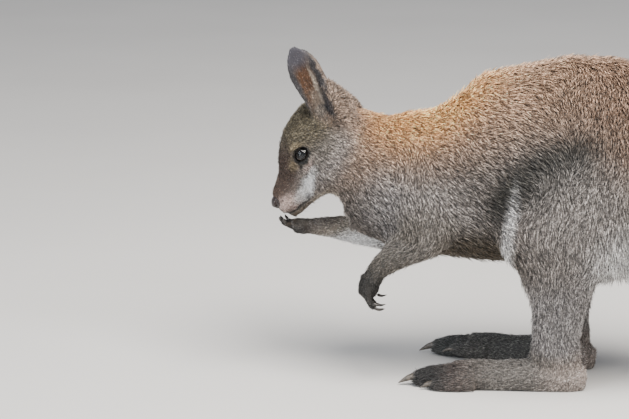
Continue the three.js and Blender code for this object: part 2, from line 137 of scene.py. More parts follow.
# A line has its piece, its path, the girth there, the tufts' length, lift, width and spacing, how much they
# fall, and whether its two sides are pieces of their own.
coatLines = [
    coatLine("coatHead", [onHead(0, -6), onHead(18, -9), onHead(40, -9), onHead(70, 0)], (10, 16, 25, 37),
             (3.8, 5.8), (13, 17), (0.58, 0.7), 0.98, 0.1, True),
    coatLine("coatHead", [onHead(70, 3), onHead(95, 6), onHead(120, 6), onHead(144, 2)], (38, 42, 40, 34),
             (4.6, 7.5), (16, 22), (0.55, 0.75), 0.86, 0.25, True),
    coatLine("coatHead", [onHead(6, -27), onHead(26, -30), onHead(48, -31), onHead(72, -33), onHead(98, -28)],
             (8, 10, 14, 24, 30), (3.8, 8), (14, 21), (0.56, 0.78), 0.98, 0, True),
    coatLine("coatNeck", [(-2, 0, 262), (22, 0, 262), (45, 0, 255), (76, 0, 239), (115, 0, 236)],
             (45, 55, 60, 66, 74), (6.5, 11), (24, 31), (0.8, 1.15), (1.0, 1.4), 0.5, True),
    coatLine("coatBack", [(115, 0, 236), (160, 0, 238), (210, 0, 245), (262, 0, 255)],
             (75, 84, 95, 106), (11, 12.5), (31, 34), (1.15, 1.25), 1.42, 0.75, True),
    coatLine("coatRump", [(262, 0, 255), (316, 0, 258), (368, 0, 253), (416, 0, 233), (452, 0, 200),
                          (484, 0, 162)],
             (106, 110, 108, 95, 74, 54), (12.5, 14), (34, 32), (1.25, 1.25), (1.42, 1.5), 0.45, True),
    coatLine("coatTail", [(484, 0, 162), (516, 3, 121), (556, 8, 79), (606, 16, 46), (664, 27, 31),
                          (744, 41, 25), (834, 52, 21), (924, 55, 18), (1010, 48, 14.5), (1086, 33, 11),
                          (1140, 16, 7)],
             (54, 43, 36, 32, 29, 26, 22, 19, 16, 12, 7), (15, 8), (25, 18), (1.25, 0.95), 1.5),
    *coatPair("coatHaunch", [(345, 52, 352), (348, 62, 285), (332, 66, 215), (316, 66, 165)],
              (60, 70, 60, 42), (12.5, 11.5), (33, 30), (1.25, 1.15), 1.42),
    *coatPair("coatHaunch", [(300, 62, 250), (278, 70, 208), (280, 71, 168)], (42, 36, 33),
              (13, 12), (34, 30), (1.2, 1.1), 1.42),
    *coatPair("coatHaunch", [(374, 72, 232), (382, 76, 192), (380, 74, 156)], (38, 34, 27),
              (17, 24), (26, 36), (1.25, 1.2), 1.42),
    *coatPair("coatShin", [(303, 64, 150), (301, 62, 125), (299, 56, 96), (297, 51, 64), (299, 48, 36),
                           (306, 47, 14)],
              (38, 36, 29, 25, 24, 20), (10, 7), (29, 24), (1.05, 0.85), (1.4, 1.15)),
    *coatPair("coatFoot", [(322, 46, 20), (300, 48, 21), (262, 51, 18), (220, 55, 16), (180, 60, 15),
                           (150, 63, 13), (126, 64, 10)],
              (15, 19, 18, 17, 17, 15, 10), (6.5, 6.5), (18, 16), (0.75, 0.7), 1.15),
    coatLine("coatArm", [(128, -40, 262), (138, -54, 214), (146, -67, 183)], (38, 33, 26),
             (11, 9.5), (30, 28), (1.15, 1.0), 1.35),
    coatLine("coatArm", [(150, -70, 178), (122, -68, 166), (101, -63, 152), (86, -62, 138), (80, -62, 124)],
             (21, 20, 17, 13, 13), (10, 5), (22, 16), (0.95, 0.7), 1.15),
    coatLine("coatArm", [(78, -62, 124), (75, -62, 108), (68, -62, 90)], (14, 15, 10), (4, 2.6), (14, 12),
             (0.62, 0.5), 0.95),
    coatLine("coatArm", [(122, 40, 258), (106, 52, 204), (92, 59, 165)], (38, 30, 24),
             (11, 9.5), (30, 28), (1.15, 1.0), 1.35),
    coatLine("coatArm", [(92, 59, 152), (62, 47, 157), (30, 31, 165), (4, 15, 170)],
             (21, 19, 16, 13), (10, 5), (22, 16), (0.95, 0.7), 1.15),
    coatLine("coatArm", [(-4, 11, 170), (-20, 4, 172), (-38, -2, 173)], (14, 14, 10), (4, 2.6), (14, 12),
             (0.62, 0.5), 0.95),
    earLine(-1),
    earLine(1),
]
coatBlend = {"near": 0.05, "power": -8, "upright": 0.8}


# Everything the coat needs at each point: the lines' own, weighted by how close they are for their girth.
def coatAt(points):
    names = list(coatLines[0]["sizes"])
    total = np.zeros((len(points), 1))
    lie = np.zeros((len(points), 3))
    sizes = {name: np.zeros((len(points), 1)) for name in names}
    best = np.zeros(len(points))
    owner = np.zeros(len(points), int)
    along = np.zeros(len(points))
    turn = np.zeros(len(points))
    for index, line in enumerate(coatLines):
        path, girth = line["path"], line["girth"]
        count = len(path) - 1
        for k in range(count):
            step = path[k + 1] - path[k]
            offset = points - path[k]
            t = np.clip(offset @ step / (step @ step), 0, 1)
            reach = offset - t[:, None] * step
            distance = np.linalg.norm(reach, axis=1)
            girthHere = girth[k] + (girth[k + 1] - girth[k]) * t
            weight = (distance / girthHere + coatBlend["near"]) ** coatBlend["power"]
            direction = unit(step) - np.array((0, 0, line["fall"]))
            share = (k + t) / count
            total[:, 0] += weight
            lie += weight[:, None] * direction
            for name in names:
                start, end = np.broadcast_to(line["sizes"][name], 2)
                sizes[name][:, 0] += weight * (start + (end - start) * share)
            near = weight > best
            best = np.where(near, weight, best)
            owner = np.where(near, index, owner)
            along = np.where(near, share, along)
            upright = abs(unit(step)[2]) > coatBlend["upright"]
            top = unit(np.cross(np.cross(step, (-1, 0, 0) if upright else (0, 0, 1)), step))
            side = np.cross(unit(step), top)
            turn = np.where(near, np.arctan2(reach @ side, reach @ top), turn)
    found = {name: sizes[name] / total for name in names}
    return {"lie": unit(lie), "owner": owner, "along": along, "turn": turn, **found}


# Skin: one closed surface through all the flesh, with its creases filled. The last three say how far it goes
# under the coat near the floor and round the eyes.
skin = {"step": 1.25 * mm, "bodyCreases": 14 * mm, "bodyDepth": 8 * mm, "fineCreases": 1.3 * mm,
        "fineDepth": 3 * mm, "margin": 2, "pad": 8, "smoothing": 9, "ramp": 16 * mm, "band": 5 * mm,
        "adaptivity": 0.045, "floorLayer": 10 * mm, "thinnest": 0.12, "eyeClear": (1.5, 7)}
# Boxes in which the fine shape is kept, in mm in the body's frame.
fineBoxes = {
    "head": ((-75, -62, 128), (66, 70, 420)),
    "left hand": ((40, -100, 60), (118, -35, 160)),
    "left foot": ((90, -105, -10), (350, -15, 62)),
    "right foot": ((90, 15, -10), (355, 112, 62)),
    "tail tip": ((1010, -10, -10), (1180, 80, 60)),
}
notFlesh = ("eye_", "nose", "hand_claw_", "toe_claw_")
fleshNodes = sorted(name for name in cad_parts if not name.startswith(notFlesh))


def trianglesOf(names):
    points, triangles, used = [], [], 0
    for name in names:
        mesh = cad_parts[name].data
        mesh.calc_loop_triangles()
        corners = np.empty(len(mesh.vertices) * 3, np.float32)
        mesh.vertices.foreach_get("co", corners)
        faces = np.empty(len(mesh.loop_triangles) * 3, np.int32)
        mesh.loop_triangles.foreach_get("vertices", faces)
        points.append(corners.reshape(-1, 3))
        triangles.append(faces.reshape(-1, 3) + used)
        used += len(mesh.vertices)
    return np.concatenate(points), np.concatenate(triangles).astype(np.uint32)


# Distance to a surface whose gaps and creases up to twice `creases` wide are filled, less `creases`.
def filledGrid(names, step, creases, inside):
    points, triangles = trianglesOf(names)
    scale = vdb.createLinearTransform(step)
    grid = vdb.FloatGrid.createLevelSetFromPolygons(points, triangles=triangles, transform=scale,
                                                    halfWidth=creases / step + skin["margin"])
    points, triangles, quads = grid.convertToPolygons(isovalue=creases)
    inBand = (creases + inside) / step + skin["margin"]
    return vdb.FloatGrid.createLevelSetFromPolygons(points, triangles=triangles, quads=quads, transform=scale,
                                                    exBandWidth=3.0, inBandWidth=inBand)


# The grid's distances in a box, negative inside the filled surface.
def readField(grid, creases, low, shape):
    field = np.empty(tuple(shape), np.float32)
    grid.copyToArray(field, ijk=tuple(int(v) for v in low))
    return field + np.float32(creases)


def softened(field, passes):
    for _ in range(passes):
        for axis in range(3):
            rows = np.moveaxis(field, axis, 0)
            rows[1:-1] = (rows[:-2] + 2 * rows[1:-1] + rows[2:]) / 4
    return field


def doubled(field):
    for axis in range(3):
        rows = np.moveaxis(field, axis, 0)
        longer = np.empty((2 * len(rows) - 1, *rows.shape[1:]), np.float32)
        longer[::2] = rows
        longer[1::2] = (rows[1:] + rows[:-1]) / 2
        field = np.moveaxis(longer, 0, axis)
    return np.ascontiguousarray(field)


# Folds and swellings of the face: a line in head coordinates (s, n, |y|), its radius and its height, in mm.
# A line with no y runs right through, and is felt only on the surface.
faceFolds = [
    {"line": [(-2, -21), (8, -25.5), (20, -28), (33, -29.5)], "radius": 1.3, "height": -1.4},  # mouth
    {"line": [(33, -29.5), (38, -27)], "radius": 2.2, "height": -1.2},  # corner of the mouth
    {"line": [(6, -17), (18, -21), (30, -24)], "radius": 6, "height": 1.7},  # upper lip
    {"line": [(4, -30), (16, -32.5)], "radius": 3, "height": 0.7},  # lower lip
    {"line": [(66, 27, 26), (80, 29, 28), (90, 24, 30)], "radius": 6, "height": 2.2},  # brow
    {"line": [(58, 10, 24), (64, 18, 27)], "radius": 3.5, "height": 1.4},  # front of the brow
    {"line": [(62, -4, 30), (78, -6, 35), (94, -2, 36)], "radius": 6, "height": 1.3},  # cheekbone
    {"line": [(60, 3, 27), (70, -3, 31), (82, -2, 34)], "radius": 1.6, "height": -0.8},  # fold under the eye
    {"line": [(36, 2, 19), (52, 5, 23)], "radius": 7, "height": -1.6},  # hollow before the eye
    {"line": [(44, -26, 22), (56, -28, 26)], "radius": 8, "height": -1.0},  # behind the corner of the mouth
    {"line": [(80, -24, 32), (98, -16, 32)], "radius": 12, "height": 1.8},  # cheek
    {"line": [(10, -12, 11), (13, -3, 12)], "radius": 2.5, "height": -0.9},  # behind the nostril
    {"line": [(4, 4), (12, 8)], "radius": 5, "height": 1.2},  # bridge of the nose
    {"line": [(-1, -15), (1, -22)], "radius": 4.5, "height": 2.4},  # lip under the nose
]


def distanceTo(line, coordinates):
    nearest = np.full(coordinates[0].shape, 1e9, np.float32)
    for start, end in zip(line[:-1], line[1:]):
        step = [np.float32(b - a) for a, b in zip(start, end)]
        offset = [c - np.float32(a) for c, a in zip(coordinates, start)]
        t = np.clip(sum(o * d for o, d in zip(offset, step)) / sum(d * d for d in step), 0, 1)
        nearest = np.minimum(nearest, sum((o - t * d) ** 2 for o, d in zip(offset, step)))
    return np.sqrt(nearest)


# Eyes: the opening is an almond with its sharp corner towards the nose, and the lids wrap the ball.
eye = {"radius": 10.9, "front": 10.4, "rear": 9.2, "upper": 8.7, "lower": 8.1, "axis": (-0.14, 0.975, 0.17),
       "frontPower": 1.55, "rearPower": 2.1, "gapScale": 8.0, "lid": 1.5, "roll": 0.5, "rollAt": 1.5,
       "rollWidth": 1.2, "lidBack": 1.0, "lidBlend": 2.2, "openingBack": 2.0, "clearance": 0.05}


def eyeFrame(side):
    centre = eyeBoxes[0 if side < 0 else 1].mean(0)
    out = unit(np.array(eye["axis"]) * (1, side, 1))
    back = unit(np.array(head["back"]) - out * (np.array(head["back"]) @ out))
    up = np.cross(out, back) * -side
    return centre, out, back, up


# How far outside the opening a point lies, in mm, from its places along and across the lids.
def openingGap(u, v):
    half = np.where(u < 0, eye["front"], eye["rear"])
    tall = np.where(v > 0, eye["upper"], eye["lower"])
    power = np.where(u < 0, eye["frontPower"], eye["rearPower"])  # a low power makes a sharp corner
    share = np.clip(np.abs(u) / half, 0, 3) ** power + np.clip(np.abs(v) / tall, 0, 3) ** 2
    return (np.sqrt(share) - 1) * eye["gapScale"]


def softMin(a, b, width):
    h = np.clip(0.5 + 0.5 * (b - a) / width, 0, 1)
    return b + (a - b) * h - width * h * (1 - h)


def sculptHead(field, points):
    s, n, y = headCoordinates(points)
    for fold in faceFolds:
        distance = distanceTo(fold["line"], (s, n, np.abs(y)))
        field -= fold["height"] * mm * np.exp(-(distance / fold["radius"]) ** 2)
    for side in (-1, 1):
        centre, *axes = (value.astype(np.float32) for value in eyeFrame(side))
        offset = (points - centre) / mm
        w, u, v = (offset @ axis for axis in axes)
        ball = np.sqrt(w * w + u * u + v * v) - eye["radius"]
        gap = openingGap(u, v)
        roll = eye["roll"] * np.exp(-((gap - eye["rollAt"]) / eye["rollWidth"]) ** 2)
        lids = np.maximum(ball - eye["lid"] - roll, -gap)
        lids = np.maximum(lids, eye["lidBack"] - w)
        field[:] = softMin(field, (lids * mm).astype(np.float32), eye["lidBlend"] * mm)
        field[:] = np.maximum(field, -mm * np.maximum(gap, eye["openingBack"] - w))
        field[:] = np.maximum(field, -mm * (ball - eye["clearance"]))
    return field


# The thin shells of the ears are thickened so that the skin keeps their rims.
earShell = {"thicker": 1.3, "near": 17, "far": 24, "start": 14, "end": 98}


def thickenEars(field, points):
    places = [points[..., k] / mm for k in range(3)]
    for side in (-1, 1):
        ends = [place(earRoot * (1, side, 1) + earAxes[side] * reach) / mm
                for reach in (earShell["start"], earShell["end"])]
        share = smoothStep(earShell["far"], earShell["near"], distanceTo(ends, places))
        field -= (earShell["thicker"] * mm * share).astype(np.float32)
    return field


def boxSlices(corners, low, step):
    start = np.floor(place(corners[0]) / step).astype(int) - low
    end = np.ceil(place(corners[1]) / step).astype(int) - low
    return start, end


def skinField():
    step = skin["step"]
    coarse = 2 * step
    low = np.floor(np.array(cadBox[0]) / coarse).astype(int) - skin["pad"]
    high = np.ceil(np.array(cadBox[1]) / coarse).astype(int) + skin["pad"]
    body = filledGrid(fleshNodes, coarse, skin["bodyCreases"], skin["bodyDepth"])
    field = readField(body, skin["bodyCreases"], low, high - low + 1)
    field = doubled(softened(field, skin["smoothing"]))
    low = low * 2
    print("skin: body field", field.shape)
    detail = filledGrid(fleshNodes, step, skin["fineCreases"], skin["fineDepth"])
    for name, corners in fineBoxes.items():
        start, end = boxSlices(corners, low, step)
        start, end = np.maximum(start, 0), np.minimum(end, field.shape)
        fine = softened(readField(detail, skin["fineCreases"], low + start, end - start), 1)
        axes = [(np.arange(a, b) + o) * step for a, b, o in zip(start, end, low)]
        points = np.stack(np.meshgrid(*axes, indexing="ij"), -1).astype(np.float32)
        if name == "head":
            fine = thickenEars(sculptHead(fine, points), points)
        inner, outer = place(corners[0]), place(corners[1])
        edge = np.minimum(points - inner, outer - points).min(-1)
        blend = smoothStep(0, skin["ramp"], edge).astype(np.float32)
        region = field[start[0]:end[0], start[1]:end[1], start[2]:end[2]]
        region[:] = region * (1 - blend) + fine * blend
    return np.clip(field, -skin["band"], skin["band"]), low


def surfaceOf(field, low, step, adaptivity):
    grid = vdb.FloatGrid(float(field.max()))
    grid.copyFromArray(field, ijk=tuple(int(v) for v in low))
    grid.transform = vdb.createLinearTransform(step)
    grid.gridClass = vdb.GridClass.LEVEL_SET
    points, triangles, quads = grid.convertToPolygons(isovalue=0.0, adaptivity=adaptivity)
    return points.astype(float), triangles[:, ::-1].astype(int), quads[:, ::-1].astype(int)


def splitQuads(triangles, quads):
    return np.concatenate([triangles, quads[:, [0, 1, 2]], quads[:, [0, 2, 3]]])


def normalsOf(points, triangles):
    a, b, c = (points[triangles[:, k]] for k in range(3))
    faceNormals = np.cross(b - a, c - a)
    normals = np.zeros_like(points)
    for k in range(3):
        np.add.at(normals, triangles[:, k], faceNormals)
    return unit(normals)


# Only the largest connected shell is kept.
def mainShell(points, triangles, quads):
    parent = np.arange(len(points))
    edges = np.concatenate([triangles[:, [0, 1]], triangles[:, [1, 2]], quads[:, [0, 1]], quads[:, [1, 2]],
                            quads[:, [2, 3]]])
    while True:
        low = np.minimum(parent[edges[:, 0]], parent[edges[:, 1]])
        before = parent.copy()
        np.minimum.at(parent, edges[:, 0], low)
        np.minimum.at(parent, edges[:, 1], low)
        parent = parent[parent]
        if np.array_equal(before, parent):
            break
    keep = parent == np.bincount(parent).argmax()
    number = np.cumsum(keep) - 1
    return points[keep], number[triangles[keep[triangles[:, 0]]]], number[quads[keep[quads[:, 0]]]]


def newMesh(name, points, faces, smooth=True):
    mesh = bpy.data.meshes.new(name)
    counts = np.concatenate([np.full(len(block), block.shape[1]) for block in faces])
    corners = np.concatenate([block.reshape(-1) for block in faces]).astype(np.int32)
    mesh.vertices.add(len(points))
    mesh.vertices.foreach_set("co", np.asarray(points, np.float32).reshape(-1))
    mesh.loops.add(len(corners))
    mesh.loops.foreach_set("vertex_index", corners)
    mesh.polygons.add(len(counts))
    mesh.polygons.foreach_set("loop_start", (np.cumsum(counts) - counts).astype(np.int32))
    mesh.update(calc_edges=True)
    mesh.polygons.foreach_set("use_smooth", np.full(len(counts), smooth))
    mesh.validate()
    thing = bpy.data.objects.new(name, mesh)
    bpy.context.scene.collection.objects.link(thing)
    return thing


def addAttribute(thing, name, values, kind="FLOAT"):
    data = thing.data.attributes.new(name, kind, "POINT").data
    key = "vector" if kind == "FLOAT_VECTOR" else "value"
    data.foreach_set(key, np.asarray(values, np.float32).reshape(-1))


field, fieldLow = skinField()
skinSurface = surfaceOf(field, fieldLow, skin["step"], skin["adaptivity"])
skinPoints, skinTriangles, skinQuads = mainShell(*skinSurface)
del field
skinFaces = splitQuads(skinTriangles, skinQuads)
skinNormals = normalsOf(skinPoints, skinFaces)
coat = coatAt(skinPoints)
floorShare = np.clip(skinPoints[:, 2:] / skin["floorLayer"], skin["thinnest"], 1)
eyeReach = np.min([np.linalg.norm((skinPoints - eyeFrame(side)[0]) / mm, axis=1) for side in (-1, 1)], axis=0)
eyeShare = smoothStep(*(eye["radius"] + clear for clear in skin["eyeClear"]), eyeReach)[:, None]
sinkBy = coat["depth"] * floorShare * eyeShare * mm
skinPoints = skinPoints - skinNormals * sinkBy
skinNormals = normalsOf(skinPoints, skinFaces)
skinThing = newMesh("skin", skinPoints, (skinTriangles, skinQuads))
lie = coat["lie"] - skinNormals * dotted(coat["lie"], skinNormals)
addAttribute(skinThing, "lie", unit(lie), "FLOAT_VECTOR")
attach(skinThing, "root")
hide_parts(*fleshNodes)
print("skin:", len(skinPoints), "points,", len(skinFaces), "triangles")


# Coat: three-sided spindles, rooted in the skin and laid along the body. They swirl by smooth random vectors
# in space, blended between the corners of a lattice.
lattice = chance.uniform(-1, 1, (swirl["lattice"],) * 3 + (3,))


def swirls(points, size):
    grid = points / (size * mm)
    base = np.floor(grid).astype(int)
    part = grid - base
    part = part * part * (3 - 2 * part)
    total = np.zeros((len(points), 3))
    for corner in np.ndindex(2, 2, 2):
        weight = np.prod(np.where(corner, part, 1 - part), axis=1)
        index = (base + corner) % len(lattice)
        total += weight[:, None] * lattice[index[:, 0], index[:, 1], index[:, 2]]
    return total


# One number for each cell of a grid.
def cellNumbers(cells, most=8192):
    return (cells[:, 0] * most + cells[:, 1]) * most + cells[:, 2]


def scatterRoots(points, normals, faces):
    a, b, c = (points[faces[:, k]] for k in range(3))
    areas = np.linalg.norm(np.cross(b - a, c - a), axis=1) / 2
    spacing = coatAt((a + b + c) / 3)["spacing"][:, 0] * mm
    wanted = areas * tuft["oversample"] / spacing ** 2
    counts = np.floor(wanted + chance.random(len(wanted))).astype(int)
    owner = np.repeat(np.arange(len(faces)), counts)
    r1, r2 = np.sqrt(chance.random(len(owner))), chance.random(len(owner))
    shares = np.stack([1 - r1, r1 * (1 - r2), r1 * r2], 1)
    roots = sum(shares[:, k:k + 1] * points[faces[owner, k]] for k in range(3))
    rootNormals = unit(sum(shares[:, k:k + 1] * normals[faces[owner, k]] for k in range(3)))
    order = chance.permutation(len(roots))
    cells = np.floor(roots[order] / (spacing[owner[order]] * tuft["cell"])[:, None]).astype(np.int64)
    kept = order[np.unique(cellNumbers(cells), return_index=True)[1]]
    return roots[kept], rootNormals[kept]


# Roots are left out where the animal is bare: eyes, lids, nose and soles.
bareReach = {"sole": 2.5 * mm, "soleFacing": -0.5, "lid": 2.6, "lidGap": 0.5, "ball": 0.6, "nose": 1.08}


def bareSkin(points, normals):
    bare = (points[:, 2] < bareReach["sole"]) & (normals[:, 2] < bareReach["soleFacing"])
    for side in (-1, 1):
        centre, out, back, up = eyeFrame(side)
        offset = (points - centre) / mm
        reach = np.linalg.norm(offset, axis=1)
        inOpening = openingGap(offset @ back, offset @ up) < bareReach["lidGap"]
        bare |= (reach < eye["radius"] + bareReach["lid"]) & inOpening
        bare |= reach < eye["radius"] + bareReach["ball"]
    noseLow, noseHigh = (np.array(corner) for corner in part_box("nose"))
    inNose = np.linalg.norm((points - (noseLow + noseHigh) / 2) / ((noseHigh - noseLow) / 2), axis=1)
    return bare | (inNose < bareReach["nose"])


# A spindle has a root, three corners at its widest and a tip, and this size in its piece's map.
spindle = np.array([(0, 1, 2), (0, 2, 3), (0, 3, 1), (4, 2, 1), (4, 3, 2), (4, 1, 3)])
spindleMap = {"long": (0, 0.0013, 0.0013, 0.0013, 0.003), "wide": (0, -0.0015, 0.0015, 0, 0), "edge": 0.01,
              "stripEdge": 0.02}


def tuftMesh(name, roots, normals, found):
    count = len(roots)
    sizes = {key: found[key] * mm for key in ("length", "width")}
    turned = swirl["strength"] * swirls(roots, swirl["size"]) * smoothStep(*swirl["lengths"], found["length"])
    lie = found["lie"] + turned + chance.normal(0, swirl["ruffle"], (count, 3))
    lie = unit(lie - normals * dotted(lie, normals))
    length = sizes["length"] * (1 + tuft["lengthSpread"] * chance.uniform(-1, 1, (count, 1)))
    stray = chance.random((count, 1)) < tuft["strays"]
    liftShare = np.clip(1 + tuft["liftSpread"] * chance.normal(0, 1, (count, 1)), *tuft["liftShares"])
    lift = np.radians(found["lift"] * liftShare + stray * tuft["strayLift"])
    low = unit(lie * np.cos(lift) + normals * np.sin(lift))
    flat = lift * (1 - tuft["bend"])
    high = unit(lie * np.cos(flat) + normals * np.sin(flat))
    base = roots - normals * tuft["sink"] * mm
    middle = base + low * length * tuft["lower"]
    tip = middle + high * length * tuft["upper"]
    lockSize = np.clip(found["length"] * lock["share"], lock["least"], lock["most"]) * mm
    moved = roots + swirls(roots, lock["swirlSize"]) * lockSize * lock["shift"]
    cells = np.floor(moved / lockSize).astype(np.int64)
    number = np.unique(cellNumbers(cells), return_inverse=True)[1].reshape(-1)
    shared = np.bincount(number)[:, None]
    centres = np.stack([np.bincount(number, tip[:, k]) for k in range(3)], 1) / shared
    tip = tip + (centres[number] - tip) * lock["pull"] * ~stray
    side = np.cross(lie, normals)
    half = sizes["width"] / 2 * (tuft["leastWidth"] + tuft["widthSpread"] * chance.random((count, 1)))
    ridge = half * 2 * tuft["thick"]
    corners = np.stack([base, middle - side * half, middle + side * half, middle + normals * ridge, tip], 1)
    corners[..., 2] = np.maximum(corners[..., 2], tuft["floorGap"] * mm)
    faces = (np.arange(count)[:, None, None] * 5 + spindle).reshape(-1, 3)
    thing = newMesh(name, corners.reshape(-1, 3), [faces])
    tone = chance.random(count)
    lockTone = chance.random(number.max() + 1)[number]
    addAttribute(thing, "along", np.tile((0, *[tuft["lower"]] * 3, 1.0), count))
    addAttribute(thing, "tone", np.repeat(tone, 5))
    addAttribute(thing, "lock", np.repeat(lockTone, 5))
    u = found["map"][:, :1] + np.array(spindleMap["long"])
    v = found["map"][:, 1:] + np.array(spindleMap["wide"])
    uv = np.stack([u, v], -1).reshape(-1, 2)
    layer = thing.data.uv_layers.new(name="OFBake")
    layer.data.foreach_set("uv", uv[faces.reshape(-1)].reshape(-1).astype(np.float32))
    return thing


# Each line's stretch of skin unrolls along the line and round it, into a strip of its piece's map.
def unrolled(found, pieceLines):
    rank = {index: k for k, index in enumerate(pieceLines)}
    row = np.array([rank[index] for index in found["owner"]])
    halves = np.array([coatLines[index]["halves"] for index in found["owner"]])
    turn = np.where(halves, np.abs(found["turn"]) / math.pi, found["turn"] / math.tau + 0.5)
    edge, stripEdge = spindleMap["edge"], spindleMap["stripEdge"]
    u = edge + (1 - 2 * edge) * found["along"]
    v = (row + stripEdge + (1 - 2 * stripEdge) * turn) / len(pieceLines)
    return np.stack([u, v], 1)


roots, rootNormals = scatterRoots(skinPoints, skinNormals, skinFaces)
bare = bareSkin(roots, rootNormals)
roots, rootNormals = roots[~bare], rootNormals[~bare]
rootCoat = coatAt(roots)
ownerPieces = np.array([line["piece"] for line in coatLines])[rootCoat["owner"]]
halved = np.array([line["halves"] or line["piece"] == "coatHaunch" for line in coatLines])[rootCoat["owner"]]
sideNames = np.where(halved, np.where(roots[:, 1] < 0, "Left", "Right"), "")
pieceNames = np.char.add(ownerPieces, sideNames)
coatThings = []
for name in sorted(set(pieceNames)):
    chosen = np.flatnonzero(pieceNames == name)
    if len(chosen) > tuft["most"]:
        print("coat: too many tufts in", name, len(chosen))
        chosen = np.sort(chance.choice(chosen, tuft["most"], replace=False))
    found = {key: value[chosen] for key, value in rootCoat.items()}
    found["map"] = unrolled(found, sorted(set(found["owner"])))
    thing = tuftMesh(name, roots[chosen], rootNormals[chosen], found)
    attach(thing, "root")
    coatThings.append(thing)
    print("coat:", name, len(chosen), "tufts")


# Eyes: an opaque ball with a sunken iris, under a clear cornea.
iris = {"half": 7.4, "depth": 1.8, "dish": 0.5, "lip": 0.35, "pupil": (5.4, 4.7), "ballInset": 0.15,
        "dishRings": 14, "ballRings": 40}
cornea = {"radius": 9.2, "seat": 7.42, "reach": 7.7, "rings": 18, "skirt": 0.6, "skirtShare": 0.97,
          "below": 1.2, "footShare": 0.9}


def lathed(name, profile, frameAxes, centre, around=64):
    out, back, up = frameAxes
    turns = np.linspace(0, math.tau, around, endpoint=False)
    rings = [centre + out * w * mm + (np.outer(np.cos(turns), back) + np.outer(np.sin(turns), up)) * r * mm
             for w, r in profile[1:-1]]
    poles = [[centre + out * profile[k][0] * mm] for k in (0, -1)]
    points = np.concatenate([poles[0], *rings, poles[1]])
    ring = np.arange(around)
    after = (ring + 1) % around
    first = 1 + ring
    quads = [np.stack([first + k * around, first + (k + 1) * around, 1 + after + (k + 1) * around,
                       1 + after + k * around], 1) for k in range(len(rings) - 1)]
    start = np.stack([np.zeros(around, int), first, 1 + after], 1)
    last = len(points) - 1
    lastRing = 1 + (len(rings) - 1) * around
    end = np.stack([np.full(around, last), lastRing + after, lastRing + ring], 1)
    faces = [np.concatenate([start, end]), np.concatenate(quads)]
    if np.dot(np.cross(back, up), out) * (profile[1][0] - profile[-2][0]) < 0:
        faces = [block[:, ::-1] for block in faces]
    return newMesh(name, points, faces)


def eyeBall(side):
    centre, out, back, up = eyeFrame(side)
    radius = eye["radius"] - iris["ballInset"]
    edge = math.asin(iris["half"] / radius)
    rim = radius * math.cos(edge)
    dish = [(rim - iris["depth"] + iris["dish"] * (r / iris["half"]) ** 2, r)
            for r in np.linspace(0, iris["half"] - iris["lip"], iris["dishRings"])]
    white = [(radius * math.cos(a), radius * math.sin(a))
             for a in np.linspace(edge, math.pi, iris["ballRings"])]
    name = "eyeBallLeft" if side < 0 else "eyeBallRight"
    ball = lathed(name, dish + white, (out, back, up), centre)
    places = np.empty(len(ball.data.vertices) * 3, np.float32)
    ball.data.vertices.foreach_get("co", places)
    offset = (places.reshape(-1, 3) - centre) / mm
    addAttribute(ball, "iris", np.stack([offset @ back, offset @ up, offset @ out], 1), "FLOAT_VECTOR")
    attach(ball, "root")
    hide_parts("eye_left" if side < 0 else "eye_right")
    curve, seat, reach = cornea["radius"], cornea["seat"], cornea["reach"]
    rimAngle = math.asin(reach / curve)
    start = seat - curve * math.cos(rimAngle)
    dome = [(start + curve * math.cos(a), curve * math.sin(a))
            for a in np.linspace(0, rimAngle, cornea["rings"])]
    deep = rim - iris["depth"] - cornea["below"]
    inner = [(seat - cornea["skirt"], reach * cornea["skirtShare"]), (deep, reach * cornea["footShare"]),
             (deep, 0.0)]
    cover = lathed(name.replace("Ball", "Cornea"), dome + inner, (out, back, up), centre)
    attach(cover, "root")
    return ball, cover


eyeThings = [eyeBall(side) for side in (-1, 1)]
print("eyes done")


# Nose: a pebbled pad with comma-shaped nostrils.
nose = {"step": 0.45 * mm, "reach": 15 * mm, "band": 2 * mm, "half": (8.2, 10.5, 8.6), "tilt": 15,
        "nostril": [(-5.5, -7, 4.2), (-1.5, -8.5, 7.5), (1.5, -6, 10.5), (3.5, -2.5, 11)],
        "nostrilRadius": 1.8, "nostrilEdge": 1.2,
        "wing": [(-4.0, -2.5, 6.5), (0.0, -1.5, 9.8)], "wingRadius": 3.0, "wingHeight": 0.9,
        "groove": 1.0, "grooveWidth": 0.8, "grooveEnds": (2, -3), "pebble": 0.10, "pebbleTurns": (5.2, 4.7)}


